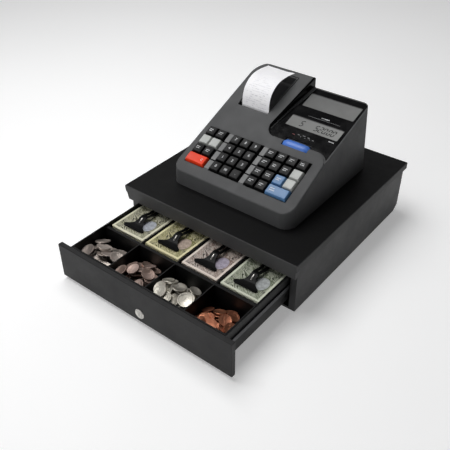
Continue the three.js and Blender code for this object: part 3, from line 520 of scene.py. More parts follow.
def studio_world():
    """Pale round the horizon, dim overhead and flagged off on the right."""
    world = bpy.data.worlds.new("studio")
    scene.world = world
    world.use_nodes = True
    nodes, links = world.node_tree.nodes, world.node_tree.links
    place = nodes.new("ShaderNodeTexCoord")
    split = nodes.new("ShaderNodeSeparateXYZ")
    ramp = nodes.new("ShaderNodeValToRGB")
    background = nodes["Background"]
    low, high = ramp.color_ramp.elements
    low.position, low.color = 0.12, (0.85, 0.85, 0.86, 1)
    high.position, high.color = 0.5, (0.10, 0.10, 0.104, 1)
    links.new(place.outputs["Generated"], split.inputs[0])
    links.new(split.outputs["Z"], ramp.inputs[0])
    links.new(ramp.outputs[0], background.inputs[0])
    flag = nodes.new("ShaderNodeMapRange")
    for socket, value in (("From Min", -0.2), ("From Max", 0.45), ("To Min", 1.0), ("To Max", 0.2)):
        flag.inputs[socket].default_value = value
    links.new(split.outputs["X"], flag.inputs["Value"])
    links.new(flag.outputs[0], background.inputs[1])


stage_floor()
studio_world()

# ---------------- CAD nodes that stay
# node: (slot, bevel in millimetres, whether flat faces are merged first)
DRESSED = {
    "cabinet_lid": ("lid_steel", 0.5, True),
    "cabinet_body": ("body_steel", 0.4, True),
    "foot_left": ("rubber", 0.4, True),
    "foot_right": ("rubber", 0.4, True),
    "rail_left": ("bright_steel", 0.2, True),
    "rail_right": ("bright_steel", 0.2, True),
    "drawer_latch": ("bright_steel", 0.3, True),
    "drawer_front": ("front_steel", 0.35, True),
    "drawer_box": ("box_steel", 0.25, True),
    "till_tray": ("till_plastic", 0.35, True),
    "lock_housing": ("lock_chrome", 0.12, False),
    "lock_plug": ("lock_chrome", 0.12, False),
    "head_case": ("case_plastic", 0.0, False),
    "head_base": ("base_plastic", 0.4, True),
    "printer_unit": ("base_plastic", 0.3, True),
    "printer_cover": ("cover_plastic", 0.35, True),
    "paper_roll": ("paper", 0.2, False),
    "mode_dial": ("dial_blue", 0.0, False),
    "display_panel": ("panel_gloss", 0.2, True),
    "display_module": ("lcd_glass", 0.1, True),
    "keyboard_base": ("base_plastic", 0.0, True),
    **{f"bill_clip_{n}": ("clip_plastic", 0.3, False) for n in (1, 2, 3, 4)},
}
for node, (slot, bevel, flat) in DRESSED.items():
    dress(node, slot, bevel, flat)


def recolour_faces(node, material, chosen):
    """Second material on the chosen faces of a CAD node."""
    mesh = NODES[node].data
    mesh.materials.append(MATERIALS[material])
    for face in mesh.polygons:
        if chosen(face):
            face.material_index = len(mesh.materials) - 1


DECK_INVERSE = DECK.matrix.inverted()
KEY_OPENING = ((-112, 15, -12.5), (112, 106, -0.3))  # lowest and highest corner, in the deck's frame
WALL_DEPTH = (-12, -0.4)  # height below the deck
WALL_X = (-13.5, 8.5)
WALL_FRONT = 66
RUNNER_X = 149.8


def in_key_opening(face):
    """True in the grooves and window walls that surround the keys."""
    spot = DECK_INVERSE @ face.center
    return all(low < value < high for low, value, high in zip(KEY_OPENING[0], spot, KEY_OPENING[1]))


def beside_display(face):
    """True on the wall that drops from the deck to the display and on the ledge at its foot."""
    in_x = WALL_X[0] < face.center.x / MM < WALL_X[1]
    in_depth = WALL_DEPTH[0] < (DECK_INVERSE @ face.center).z < WALL_DEPTH[1]
    return in_x and in_depth and face.center.y / MM > WALL_FRONT and face.normal.z > -0.1


# painted shade: the grooves and window walls round the keys take the black base plastic in place of the
# case's grey
recolour_faces("head_case", "base_plastic", in_key_opening)
# painted shade: the wall from the deck down to the display and its ledge take the black panel gloss in
# place of the case's grey
recolour_faces("head_case", "panel_gloss", beside_display)
recolour_faces("drawer_box", "runner_steel", lambda face: abs(face.center.x) / MM > RUNNER_X)

# ---------------- keys
RISE = 5.0  # top of a key above the deck
DISH = 0.35  # how far its top is hollowed
SKIRT = -4.4  # lower edge of the cap
PRINT = 0.04  # thickness of raised print
# sections are (inset, height, corner radius), from the lowest up and then in over the top
CAP_SECTIONS = [
    (0.0, SKIRT, 0.5), (0.0, 0.1, 0.5), (0.1, 0.8, 0.6), (0.55, 2.4, 0.9), (1.15, 4.2, 1.3),
    (1.3, 4.55, 1.4), (1.6, 4.85, 1.5), (2.0, RISE, 1.5), (2.5, RISE - 0.04, 1.4),
    (3.3, RISE - 0.22, 1.2), (4.2, RISE - DISH, 1.0),
]
SPACER_SECTIONS = [(0.0, -0.2, 0.8), (0.0, 0.45, 0.8), (0.25, 0.7, 0.7)]
STEM_SECTIONS = [(0, -11.6, 0.3), (0, SKIRT, 0.3)]
STEM_HALF = 2.2


def add_text(bm, text, size, centre, height, material=1):
    """Raised print of a short text, centred on a point, with the sans serif that Blender carries."""
    curve = bpy.data.curves.new("print", "FONT")
    curve.body = text
    curve.size = size
    curve.align_x = "CENTER"
    curve.align_y = "CENTER"
    curve.extrude = PRINT / 2
    curve.offset = size * 0.012
    holder = bpy.data.objects.new("print", curve)
    made = bpy.data.meshes.new_from_object(holder)
    made.transform(Matrix.Translation((*centre, height + PRINT / 2)))
    before = len(bm.faces)
    bm.from_mesh(made)
    bm.faces.ensure_lookup_table()
    for face in bm.faces[before:]:
        face.material_index = material
    bpy.data.objects.remove(holder)
    bpy.data.curves.remove(curve)
    bpy.data.meshes.remove(made)


def add_word(bm, rng, left, y, length, tall, height, material=1):
    """A row of small blocks that reads as a printed word from a distance, without being one."""
    x = left
    while x < left + length:
        wide = rng.uniform(0.55, 0.95) * tall * 0.75
        outline = [(x, y), (x + wide, y), (x + wide, y + tall * rng.uniform(0.8, 1.0)), (x, y + tall)]
        add_plate(bm, outline, height, height + PRINT, material)
        x += wide + tall * 0.22


def add_key_print(bm, name, half_x, rng):
    """What is printed on a key: a digit or sign on the number keys, two short words on the others."""
    height = RISE - DISH
    number = name.removeprefix("key_")
    if number.isdigit():
        add_text(bm, number, 6.6 if len(number) < 2 else 5.6, (0, 0.2), height)
    elif number == "point":
        add_text(bm, ".", 5.6, (0, 0.2), height)
    elif number == "clear":
        add_text(bm, "C", 6.0, (half_x - 8.0, 0), height)
    elif number == "total":
        add_word(bm, rng, -half_x + 5.0, 1.2, 8.0, 1.6, height)
        add_word(bm, rng, -half_x + 5.0, -2.4, 9.5, 1.6, height)
    else:
        add_word(bm, rng, -4.8, 1.4, rng.uniform(5.8, 8.0), 1.4, height)
        add_word(bm, rng, -4.8, -1.6, rng.uniform(4.6, 8.0), 1.4, height)


KEY_SLOTS = {
    # every other key is black
    "key_clear": "key_red",
    "key_total": "key_blue",
    "key_right_1_2": "key_blue",
    **dict.fromkeys(("key_left_2_0", "key_left_2_1", "key_right_1_3", "key_right_2_3"), "key_light"),
}


def build_keys():
    for name in sorted(n for n in NODES if n.startswith("key_")):
        low, high = DECK.box(name)
        half = (high - low) / 2
        slot = KEY_SLOTS.get(name, "key_black")
        bm = bmesh.new()
        add_sections(bm, half.x, half.y, CAP_SECTIONS)
        if slot != "key_light":
            add_key_print(bm, name, half.x, random.Random(name))
        add_sections(bm, STEM_HALF, STEM_HALF, STEM_SECTIONS, corner_steps=2)
        DECK.settle(bm, ((low.x + high.x) / 2, (low.y + high.y) / 2, 0))
        piece(name.replace("key_", "cap_", 1), bm, [slot, "legend_ink"], name, [name], sharp=50)


build_keys()


def build_spacers():
    """Pale tabs on the deck between the clusters of keys, one beside each row."""
    rows = [DECK.box(f"key_right_{row}_0") for row in range(4)]
    clear, one, three = (DECK.box(name) for name in ("key_clear", "key_1", "key_3"))
    bm = bmesh.new()
    for left, right in ((clear[1].x, one[0].x), (three[1].x, rows[0][0].x)):
        for low, high in rows:
            half_x, half_y = (right - left) / 2 - 1.6, (high.y - low.y) / 2 - 0.6
            add_sections(bm, half_x, half_y, SPACER_SECTIONS, (left + right) / 2, (low.y + high.y) / 2)
    DECK.settle(bm)
    piece("spacer_tabs", bm, ["spacer_plastic"], "cabinet")


build_spacers()

# ---------------- display
SEGMENTS = {"0": "abcdef", "2": "abged", "5": "afgcd"}  # the bars that each digit lights
LIQUID = 0.03  # thickness of a lit bar


def segment_outline(name, wide, tall, bar):
    """One bar of a seven-segment digit, as a hexagon, from the digit's lower left corner."""
    half, gap = tall / 2, bar * 0.6
    flat = {"a": tall - bar / 2, "g": half, "d": bar / 2}
    if name in flat:
        y = flat[name]
        return [
            (gap, y), (gap + bar / 2, y - bar / 2), (wide - gap - bar / 2, y - bar / 2), (wide - gap, y),
            (wide - gap - bar / 2, y + bar / 2), (gap + bar / 2, y + bar / 2),
        ]
    x = bar / 2 if name in "fe" else wide - bar / 2
    low = half if name in "fb" else 0
    bottom, top = low + gap, low + half - gap
    return [
        (x, bottom), (x + bar / 2, bottom + bar / 2), (x + bar / 2, top - bar / 2), (x, top),
        (x - bar / 2, top - bar / 2), (x - bar / 2, bottom + bar / 2),
    ]


def lcd_number(bm, text, left, y, z, wide=6.3, tall=13.2, bar=1.5, slant=0.2, gap=1.1, dot_room=0.9):
    """Seven-segment digits that lean to the right."""
    x = left
    for character in text:
        if character == ".":
            dot = [(x - 1.5, 0), (x - 0.1, 0), (x + 0.1, 1.4), (x - 1.3, 1.4)]
            add_plate(bm, [(px, y + py) for px, py in dot], z, z + LIQUID)
            x += dot_room
            continue
        for name in SEGMENTS[character]:
            outline = segment_outline(name, wide, tall, bar)
            add_plate(bm, [(x + px + slant * py, y + py) for px, py in outline], z, z + LIQUID)
        x += wide + gap


GLASS = {"depth": -0.68, "digits_y": -83.6, "sign_x": 28.5, "sum_x": 55.5}
PANEL = 0.01  # height of the print on the panel
DIAL_MARKS = (51.5, -101.5)  # middle of the arc of marks behind the mode dial, in the display's frame


def build_display():
    bm = bmesh.new()
    for text, x in (("5", GLASS["sign_x"]), ("520.00", GLASS["sum_x"])):
        lcd_number(bm, text, x, GLASS["digits_y"], GLASS["depth"])
    DISPLAY.settle(bm)
    piece("lcd_digits", bm, ["segment_ink"], "cabinet")

    rng = random.Random(7)
    bm = bmesh.new()
    bright, red, faint = range(3)

    def bar(x, y, wide, tall):
        outline = [(x, y), (x + wide, y), (x + wide, y + tall), (x, y + tall)]
        add_plate(bm, outline, PANEL, PANEL + PRINT, faint)

    bar(33, -57.6, 58, 0.3)
    add_word(bm, rng, 55, -54.6, 6, 2.2, PANEL, faint)
    add_word(bm, rng, 62, -54.6, 7, 2.2, PANEL, bright)
    add_word(bm, rng, 92, -95.6, 9, 1.8, PANEL, bright)
    for step in range(5):
        share = step / 4 - 0.5
        x, y = DIAL_MARKS[0] + 36 * share, DIAL_MARKS[1] - 12 * share * share
        add_word(bm, rng, x - 2, y, 3.4, 1.1, PANEL, faint if step else red)
    for step in range(3):
        bar(DIAL_MARKS[0] - 5 + 8 * step, DIAL_MARKS[1] - 3.4, 1.2, 0.9)
    DISPLAY.settle(bm)
    piece("panel_marks", bm, ["legend_ink", "mark_red", "faint_ink"], "cabinet")


build_display()

# ---------------- back
def back_frame(node, height):
    """Frame on the rear face of a CAD node, at a height above the counter."""
    return Frame((0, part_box(node)[1].y / MM, height), -90)


HEAD_BACK = back_frame("head_case", 150)
LOUVRE = {"half_x": 12.0, "half_y": 1.1, "pitch_x": 32.0, "pitch_y": 6.0, "columns": 4, "rows": 5}
LIP = {"half_x": 12.6, "half_y": 0.55, "proud": 0.8, "gap": 0.5}
SUNK = 0.05  # how far a fitting reaches into the face it lies on
SCREW = {"radius": 3.0, "sections": [(1.0, -0.2), (1.0, 0.5), (0.86, 1.05), (0.55, 1.4)]}
CROSS = {"half_long": 1.5, "half_thin": 0.3, "low": 1.38, "high": 1.44}
SCREWS = {
    # name: (face, places on it)
    "head_screws": (HEAD_BACK, [(-84, 38), (84, 38)]),
    "case_screws": (back_frame("cabinet_body", 50), [(-146, 26), (-50, 26), (50, 26), (146, 26)]),
    "lid_screws": (back_frame("cabinet_lid", 92), [(-120, 0), (0, 0), (120, 0)]),
}


def add_screw(bm, x, y):
    """Pan head standing on the face, with a dark cross on it as painted shade for its cross recess."""
    add_rings(bm, [circle(SCREW["radius"] * share, z, 24, x, y) for share, z in SCREW["sections"]])
    long, thin = CROSS["half_long"], CROSS["half_thin"]
    for half_x, half_y in ((long, thin), (thin, long)):
        corners = ((-1, -1), (1, -1), (1, 1), (-1, 1))
        outline = [(x + i * half_x, y + j * half_y) for i, j in corners]
        # painted shade: the cross recess is a dark plate
        add_plate(bm, outline, CROSS["low"], CROSS["high"], 1)


def build_back():
    """Louvres on the back of the head, and the screws that hold the head, the case and the lid."""
    bm = bmesh.new()
    slot = rounded_rectangle(LOUVRE["half_x"], LOUVRE["half_y"], 1.0, 0, 3)
    lip = rounded_rectangle(LIP["half_x"], LIP["half_y"], 0.5, 0, 3)
    for column in range(LOUVRE["columns"]):
        for row in range(LOUVRE["rows"]):
            x = (column - (LOUVRE["columns"] - 1) / 2) * LOUVRE["pitch_x"]
            y = (row - (LOUVRE["rows"] - 1) / 2) * LOUVRE["pitch_y"]
            above = y - LOUVRE["half_y"] - LIP["gap"]
            # painted shade: each slot is a black plate on the face, standing for the dark inside of an
            # opening
            add_plate(bm, [(x + p.x, y + p.y) for p in slot], -SUNK, SUNK, 0)
            add_plate(bm, [(x + p.x, above + p.y) for p in lip], -SUNK, LIP["proud"], 1)
    HEAD_BACK.settle(bm)
    piece("rear_louvres", bm, ["base_plastic", "case_plastic"], "cabinet")
    for name, (back, spots) in SCREWS.items():
        bm = bmesh.new()
        for spot in spots:
            add_screw(bm, *spot)
        back.settle(bm)
        piece(name, bm, ["runner_steel", "base_plastic"], "cabinet")


build_back()

# ---------------- receipt
PAPER = {"x": -54.0, "half": 27.0, "thick": 0.12, "torn": 1.1, "rows": 63, "columns": 28}
ROUTE = [
    # (y, z) from the slot over the arch to the rear, measured from the head's front and base
    (203.3, 87), (203.7, 95), (204.8, 107.5), (209.5, 120.5), (221, 131.2), (236, 136.6), (252, 137.4),
    (266, 136.4), (278, 135),
]
HEAD_ORIGIN = Vector((0, -101.4, 100.3))


def receipt_material():
    """Thermal paper: faint mottling and a few printed lines near the slot."""
    t = Tree("receipt_print", Roughness=0.62)
    uv = t.node("ShaderNodeUVMap").outputs[0]
    split = t.node("ShaderNodeSeparateXYZ", {0: uv})
    across, along = split.outputs[0], split.outputs[1]
    line = t.math("FRACT", t.math("DIVIDE", along, 3.6))
    in_line = t.math("MULTIPLY", t.span(line, 0.2, 0.3), t.span(line, 0.72, 0.62))
    letters = t.noise(0.9, 1.0, 0.5, t.stretched(uv, (MM * 1.1, MM * 0.28, 1)))
    words = t.noise(6.5, 0.0, 0.5, t.stretched(uv, (MM, MM * 1.8, 1)))
    ink = t.math("MULTIPLY", in_line, t.span(letters, 0.44, 0.56))
    ink = t.math("MULTIPLY", ink, t.span(words, 0.45, 0.55))
    wide = 2 * PAPER["half"]
    sides = t.math("MULTIPLY", t.span(across, 5.0, 7.0), t.span(across, wide - 5.0, wide - 7.0))
    ink = t.math("MULTIPLY", t.math("MULTIPLY", ink, sides), t.span(along, 70.0, 36.0, 0.06, 0.42))
    mottle = t.mix(t.span(t.noise(9, 3.0), 0.3, 0.7), (0.93, 0.925, 0.95), (0.97, 0.965, 0.975))
    t.shade("Base Color", t.mix(ink, mottle, (0.2, 0.2, 0.24)))
    t.shade("Normal", t.bump(t.noise(0.35, 2.0), 0.01))
    return t.material


def spline_points(points, count):
    """Points spread along a Catmull-Rom curve, ends included."""
    padded = [points[0] * 2 - points[1], *points, points[-1] * 2 - points[-2]]
    made = []
    for step in range(count):
        place = step / (count - 1) * (len(points) - 1)
        i = min(int(place), len(points) - 2)
        f = place - i
        a, b, c, d = padded[i:i + 4]
        square, cube = 2 * a - 5 * b + 4 * c - d, 3 * b - a - 3 * c + d
        made.append(0.5 * (2 * b + (c - a) * f + square * f * f + cube * f ** 3))
    return made


def build_receipt():
    """Strip that rises from its slot, arches back, and cups and waves more towards its torn end."""
    line = spline_points([Vector((0, y, z)) for y, z in ROUTE], PAPER["rows"] + 1)
    length = [0.0]
    for a, b in zip(line, line[1:]):
        length.append(length[-1] + (b - a).length)

    def spot(side, i, j):
        ahead = line[min(i + 1, PAPER["rows"])] - line[max(i - 1, 0)]
        normal = Vector((0, -ahead.z, ahead.y)).normalized()
        share = length[i] / length[-1]
        u = j / PAPER["columns"] * 2 - 1
        cup = 0.9 * share * (u * u - 0.35) + 0.25 * math.sin(5.0 * u + 9.0 * share) * share
        offset = normal * ((0.5 - side) * PAPER["thick"] + cup)
        if i == PAPER["rows"] and j % 2:
            offset = offset - ahead.normalized() * PAPER["torn"]
        point = line[i] + offset + Vector((PAPER["x"] + u * PAPER["half"], 0, 0)) + HEAD_ORIGIN
        return point, ((u + 1) * PAPER["half"], length[i])

    bm = bmesh.new()
    add_sheet(bm, bm.loops.layers.uv.new("UVMap"), PAPER["rows"], PAPER["columns"], spot)
    material = receipt_material()
    piece("receipt_strip", bm, [material], "printer_cover", ["receipt_paper"], sharp=60)


build_receipt()

# ---------------- till contents
CLIPS = [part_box(f"bill_clip_{number}") for number in (1, 2, 3, 4)]
CENTRES = [(low.x + high.x) / 2 / MM for low, high in CLIPS]  # of the four columns of the till
CUP = {"front": -236.4, "back": -168.9, "floor": 23.1, "scoop": 20.0, "width": 72.05}
CELL = 0.8  # grid on which the height of a heap is kept
TRIES = 5  # places tried for each coin, which goes to the lowest
PULL = 2.6  # millimetres of height that a coin gives up to lie nearer the middle of its heap
STEEPEST = 0.5  # slope at which a coin still lies
RIM = {"field": 0.14, "inner": 1.35, "crest": 1.05, "chamfer": 0.2}  # depth, then distances from the edge


def coin_material(name, first, second, roughness):
    """Struck metal: raised design, beaded ring, toned and rubbed unevenly from coin to coin."""
    t = Tree(name, Metallic=1.0)
    uv = t.node("ShaderNodeUVMap").outputs[0]
    split = t.node("ShaderNodeSeparateXYZ", {0: uv})
    across, seed = t.math("FRACT", split.outputs[0]), t.math("FLOOR", split.outputs[0])
    centred = t.node("ShaderNodeCombineXYZ", {
        0: t.math("SUBTRACT", across, 0.5), 1: t.math("SUBTRACT", split.outputs[1], 0.5), 2: seed,
    }).outputs[0]
    radius = t.vector("LENGTH", t.vector("MULTIPLY", centred, (1, 1, 0)))
    relief = t.node("ShaderNodeTexNoise", {"Vector": centred, "Scale": 5.5, "Detail": 3.0}).outputs[0]
    design = t.math("MULTIPLY", t.span(relief, 0.47, 0.56), t.span(radius, 0.36, 0.3))
    beads = t.node("ShaderNodeTexVoronoi", {"Vector": centred, "Scale": 26.0}).outputs[0]
    ring = t.math("MULTIPLY", t.span(radius, 0.37, 0.39), t.span(radius, 0.45, 0.43))
    ring = t.math("MULTIPLY", ring, t.span(beads, 0.5, 0.2))
    toned = t.node("ShaderNodeTexNoise", {"Vector": centred, "Scale": 1.6, "Detail": 3.0}).outputs[0]
    coin_tone = t.node("ShaderNodeTexWhiteNoise", {"W": seed}, noise_dimensions="1D").outputs[0]
    patches = t.span(toned, 0.35, 0.65, 0.0, 0.35)
    blend = t.math("ADD", t.math("MULTIPLY", coin_tone, 0.75), patches, clamp=True)
    t.shade("Base Color", t.mix(blend, first, second))
    t.shade("Roughness", t.span(toned, 0.3, 0.7, roughness - 0.08, roughness + 0.12))
    t.shade("Normal", t.bump(t.math("ADD", design, ring), 0.16))
    return t.material


def coin_shape(radius, thick):
    """Rings of points of a coin with a raised rim, from its upper field to its lower one."""
    top = thick / 2
    profile = [
        (radius - RIM["inner"], top - RIM["field"]), (radius - RIM["crest"], top),
        (radius - RIM["chamfer"], top), (radius, top - RIM["chamfer"]),
    ]
    return [circle(r, z, 28) for r, z in profile + [(r, -z) for r, z in reversed(profile)]]


def resting_plane(x, y, height):
    """Slopes and centre height of the plane on which a coin comes to rest, over the heights under it."""
    def level(a, b):
        return float(np.max(height - a * x - b * y))

    a = b = 0.0
    best, step = level(0.0, 0.0), 0.4
    while step > 0.02:
        options = [(a + da * step, b + db * step) for da in (-1, 0, 1) for db in (-1, 0, 1)]
        options = [(p, q) for p, q in options if math.hypot(p, q) <= STEEPEST]
        found = min(options, key=lambda o: level(*o))
        if level(*found) < best - 1e-6:
            (a, b), best = found, level(*found)
        else:
            step /= 2
    return a, b, best


def heap(centre_x, sizes, count, spread, middle, rng):
    """Pose, radius and thickness of coins dropped into a cup, each resting on those below it."""
    half, deep = CUP["width"] / 2, CUP["back"] - CUP["front"]
    ys = np.arange(0, deep, CELL)
    grid_x, grid_y = np.meshgrid(np.arange(-half, half, CELL), ys, indexing="ij")
    bend = np.clip(CUP["scoop"] - grid_y, 0, CUP["scoop"])
    ground = CUP["floor"] + CUP["scoop"] - np.sqrt(CUP["scoop"] ** 2 - bend ** 2)
    poses = []
    for _ in range(count):
        radius, thick = rng.choice(sizes)
        reach = radius + 0.4
        tries = []
        for _ in range(TRIES):
            x = min(max(rng.gauss(middle[0], spread[0]), -half + reach), half - reach)
            y = min(max(rng.gauss(middle[1], spread[1]), reach), ys[-1] - reach)
            under = (grid_x - x) ** 2 + (grid_y - y) ** 2 < radius ** 2
            a, b, level = resting_plane(grid_x[under] - x, grid_y[under] - y, ground[under])
            from_middle = math.hypot((x - middle[0]) / spread[0], (y - middle[1]) / spread[1])
            tries.append((level + PULL * from_middle, x, y, a, b, level, under))
        _, x, y, a, b, level, under = min(tries, key=lambda t: t[0])
        normal = Vector((-a, -b, 1)).normalized()
        turn = normal.to_track_quat("Z", "Y").to_matrix().to_4x4()
        flat = Matrix.Rotation(rng.uniform(0, 2 * math.pi), 4, "Z")
        place = Vector((centre_x + x, CUP["front"] + y, level)) + normal * thick / 2
        poses.append((Matrix.Translation(place) @ turn @ flat, radius, thick))
        top = level + a * (grid_x[under] - x) + b * (grid_y[under] - y) + thick / normal.z
        ground[under] = np.maximum(ground[under], top)
    return poses


COINS = {
    # cup: (colours, roughness, (radius, thickness) of each kind, count, spread and middle of the heap)
    1: (((0.66, 0.59, 0.53), (0.5, 0.43, 0.39)), 0.5, [(12.1, 1.75), (10.6, 1.95)], 44, (14, 9), (-3, 25)),
    2: (((0.4, 0.27, 0.21), (0.55, 0.44, 0.4)), 0.46, [(10.6, 1.95), (9.5, 1.55)], 50, (13, 9), (2, 26)),
    3: (((0.7, 0.67, 0.59), (0.46, 0.43, 0.37)), 0.42, [(9.0, 1.4), (10.6, 1.9)], 58, (14, 9), (4, 27)),
    4: (((0.6, 0.25, 0.14), (0.33, 0.13, 0.08)), 0.44, [(9.5, 1.55)], 60, (14, 10), (5, 28)),
}


def build_coins():
    """One heap in each cup. A coin's number is the whole part of its first UV, which seeds its tone."""
    for cup, (colours, roughness, *heap_shape) in COINS.items():
        bm = bmesh.new()
        uv = bm.loops.layers.uv.new("UVMap")
        poses = heap(CENTRES[cup - 1], *heap_shape, random.Random(100 + cup))
        for number, (pose, radius, thick) in enumerate(poses):
            start = len(bm.faces)
            add_rings(bm, [[pose @ p * MM for p in ring] for ring in coin_shape(radius, thick)])
            bm.faces.ensure_lookup_table()
            back = pose.inverted()
            for loop in (loop for face in bm.faces[start:] for loop in face.loops):
                spot = back @ (loop.vert.co / MM)
                loop[uv].uv = (number + 0.5 + 0.499 * spot.x / radius, 0.5 + 0.499 * spot.y / radius)
        material = coin_material(f"coins_{cup}", *colours, roughness)
        piece(f"coins_{cup}", bm, [material], "drawer", sharp=30)


build_coins()

NOTE = {"half": 33.15, "long": 145.0, "front": -158.0, "floor": 23.4, "top": 61.75}
STACK = {"sheets": 22, "pitch": 0.24, "thick": 0.82}  # thickness as a share of the pitch
OVAL = {"centre": (15.0, 33.0, 0), "half": (11.5, 14.5)}  # from the note's front middle
PRESSED = {"y": 26, "half_x": 20, "half_y": 34}  # where the clip holds a note flat
NOTE_TINTS = [
    # (paper, ink, second ink, oval): the print of each denomination
    ((0.60, 0.585, 0.45), (0.02, 0.02, 0.014), (0.17, 0.165, 0.10), (0.40, 0.42, 0.46)),
    ((0.62, 0.575, 0.36), (0.03, 0.031, 0.012), (0.18, 0.17, 0.06), (0.44, 0.35, 0.29)),
    ((0.62, 0.55, 0.49), (0.03, 0.02, 0.02), (0.22, 0.155, 0.13), (0.40, 0.36, 0.44)),
    ((0.52, 0.54, 0.44), (0.02, 0.027, 0.014), (0.14, 0.165, 0.105), (0.42, 0.44, 0.44)),
]


def note_material(index, tint):
    """Banknote paper with a generic engraved pattern: margins, ruled sides, scrolls and a blank oval."""
    paper, ink, second, oval_tone = tint
    t = Tree(f"note_{index}", Roughness=0.7, Specular_IOR_Level=0.2)
    uv = t.node("ShaderNodeUVMap").outputs[0]
    split = t.node("ShaderNodeSeparateXYZ", {0: uv})
    across, along = split.outputs[0], split.outputs[1]  # millimetres from the note's front middle
    grid = t.stretched(uv, (MM, MM, MM))
    side = t.math("SUBTRACT", NOTE["half"], t.math("ABSOLUTE", across))
    margin = t.math("MINIMUM", side, along)
    printed = t.span(margin, 3.2, 3.7)

    ruled = t.math("FRACT", t.math("MULTIPLY", across, 0.42))
    ruled = t.math("MULTIPLY", t.span(ruled, 0.3, 0.45), t.span(ruled, 0.95, 0.8))
    ruled = t.math("MULTIPLY", ruled, t.span(side, 13.0, 12.0))

    def waves(direction, scale, distortion, detail_scale):
        values = {"Scale": scale, "Distortion": distortion, "Detail": 2.0, "Detail Scale": detail_scale}
        made = t.node("ShaderNodeTexWave", {"Vector": grid, **values}, bands_direction=direction)
        return made.outputs["Fac"]

    scrolls = waves("DIAGONAL", 95.0, 14.0, 0.9)
    fine = waves("X", 420.0, 7.0, 1.4)
    blotch = t.span(t.noise(9.5, 4.0, 0.62, grid), 0.34, 0.56)
    engraved = t.math("MULTIPLY", t.span(scrolls, 0.25, 0.55), blotch)
    engraved = t.math("MAXIMUM", engraved, t.math("MULTIPLY", t.span(fine, 0.4, 0.8), 0.5))

    from_oval = t.vector("SUBTRACT", uv, OVAL["centre"])
    oval = t.vector("LENGTH", t.vector("MULTIPLY", from_oval, (*(1 / half for half in OVAL["half"]), 0)))
    inside = t.span(oval, 1.03, 0.97)
    outline = t.math("MULTIPLY", t.span(oval, 0.95, 1.02), t.span(oval, 1.2, 1.1))
    shoulder = t.span(t.noise(13, 2.0, 0.5, grid), 0.52, 0.6)
    shade = t.math("MAXIMUM", engraved, t.math("MULTIPLY", ruled, 0.75))
    shade = t.math("MAXIMUM", shade, outline)
    shade = t.math("MULTIPLY", shade, t.math("SUBTRACT", 1.0, inside))
    shade = t.math("MULTIPLY", shade, printed)

    tone = t.mix(shoulder, second, ink)
    smudge = t.span(t.noise(16, 3.0, 0.5, grid), 0.3, 0.7)
    oval_mottle = t.span(t.noise(5, 4.0, 0.6, grid), 0.35, 0.7)
    outside = t.mix(smudge, shifted(paper, 0.85), shifted(paper, 1.15))
    # the oval is mottled lighter and darker by a noise
    ground = t.mix(inside, outside, t.mix(oval_mottle, shifted(oval_tone, 1.2), shifted(oval_tone, 0.62)))
    ground = t.mix(printed, shifted(paper, 1.3), ground)
    t.shade("Base Color", t.mix(shade, ground, tone))
    t.shade("Normal", t.bump(t.noise(1.6, 3.0), 0.03))
    return t.material


def stack_material(index, tint):
    """Edges of a stack of notes: thin layered lines in white, cream and the colour of the print."""
    second = tint[2]
    t = Tree(f"note_edges_{index}", Roughness=0.8, Specular_IOR_Level=0.2)
    layers = t.noise(9.0, 4.0, 0.75, t.stretched(t.place(), (1, 1, 45)))
    broad = t.noise(14, 2.0, 0.5, t.stretched(t.place(), (1, 1, 6)))
    cream = t.mix(t.span(broad, 0.4, 0.6), (0.86, 0.85, 0.77), (0.80, 0.76, 0.52))
    t.shade("Base Color", t.mix(t.span(layers, 0.52, 0.66), cream, second))
    t.shade("Normal", t.bump(layers, 0.12))
    return t.material


def add_note(bm, uv, centre_x, low, high, lift=None, shift=(0, 0), turn=0.0, grid=(2, 2)):
    """A note, or a block of them, whose skin is raised by lift(x, y) from the note's front middle."""
    rotation = Matrix.Rotation(turn, 2)
    rows, columns = grid

    def spot(side, i, j):
        x, y = (i / rows * 2 - 1) * NOTE["half"], j / columns * NOTE["long"]
        spun = rotation @ Vector((x, y))
        height = (low if side else high) + (lift(x, y) if lift else 0)
        return Vector((centre_x + spun.x + shift[0], NOTE["front"] + spun.y + shift[1], height)), (x, y)

    add_sheet(bm, uv, rows, columns, spot, edge_material=1)


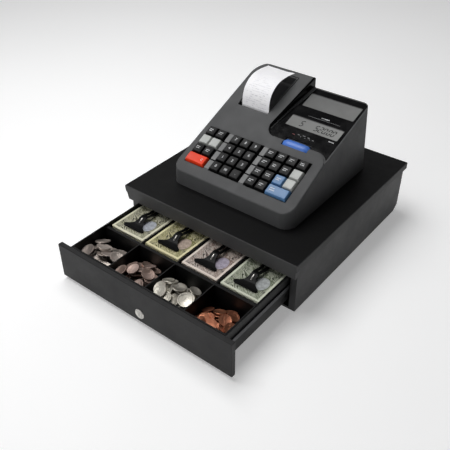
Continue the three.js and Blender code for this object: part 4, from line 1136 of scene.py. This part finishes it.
def rippled(phase, share):
    """Lift of a sheet that is pressed flat under the clip and ripples elsewhere."""
    def lift(x, y):
        across, along = x / PRESSED["half_x"], (y - PRESSED["y"]) / PRESSED["half_y"]
        pressed = math.exp(-(across ** 2) - along ** 2)
        ripple = 0.5 + 0.5 * math.sin(x * 0.11 + phase) * math.cos(y * 0.05 + phase)
        return share * (0.9 * (1 - pressed) * ripple - 0.25)

    return lift


def build_notes():
    """A stack of loose notes over a block of them in each bay."""
    for index, (centre, tint) in enumerate(zip(CENTRES, NOTE_TINTS)):
        rng = random.Random(40 + index)
        bm = bmesh.new()
        uv = bm.loops.layers.uv.new("UVMap")
        phase = rng.uniform(0, 6)
        for layer in range(STACK["sheets"]):
            shift = (rng.uniform(-0.5, 0.5), rng.uniform(-0.9, 0.5)) if layer else (0, 0)
            turn = math.radians(rng.uniform(-0.25, 0.25))
            high = NOTE["top"] - layer * STACK["pitch"]
            low = high - STACK["pitch"] * STACK["thick"]
            lift = rippled(phase, 1 - layer / STACK["sheets"])
            add_note(bm, uv, centre, low, high, lift, shift, turn, (6, 8) if layer else (18, 44))
        block_top = NOTE["top"] - STACK["sheets"] * STACK["pitch"] - 0.35
        add_note(bm, uv, centre, NOTE["floor"], block_top, shift=(0, -0.2))
        materials = [note_material(index + 1, tint), stack_material(index + 1, tint)]
        piece(f"notes_{index + 1}", bm, materials, "drawer", sharp=30)


build_notes()

# ---------------- clips
ROLLER = {"front": (-129.4, 65.1), "back": (-123.0, 69.3), "radius": 1.5, "tip": 0.15}


def build_rollers():
    """Steel roller with round ends in the neck of each bill clip."""
    start, end = (Vector((0, *ROLLER[key])) for key in ("front", "back"))
    turn = (end - start).to_track_quat("Z", "Y").to_matrix()
    radius, length = ROLLER["radius"], (end - start).length
    bends = [ROLLER["tip"] + math.pi / 8 * step for step in range(4)]
    profile = [(radius * math.sin(bend), -radius * math.cos(bend)) for bend in bends]
    profile += [(r, length - z) for r, z in reversed(profile)]
    for number, x in enumerate(CENTRES, start=1):
        bm = bmesh.new()
        place = start + Vector((x, 0, 0))
        add_rings(bm, [[(turn @ p + place) * MM for p in circle(r, z, 16)] for r, z in profile])
        piece(f"clip_roller_{number}", bm, ["lock_chrome"], f"bill_clip_{number}")


build_rollers()
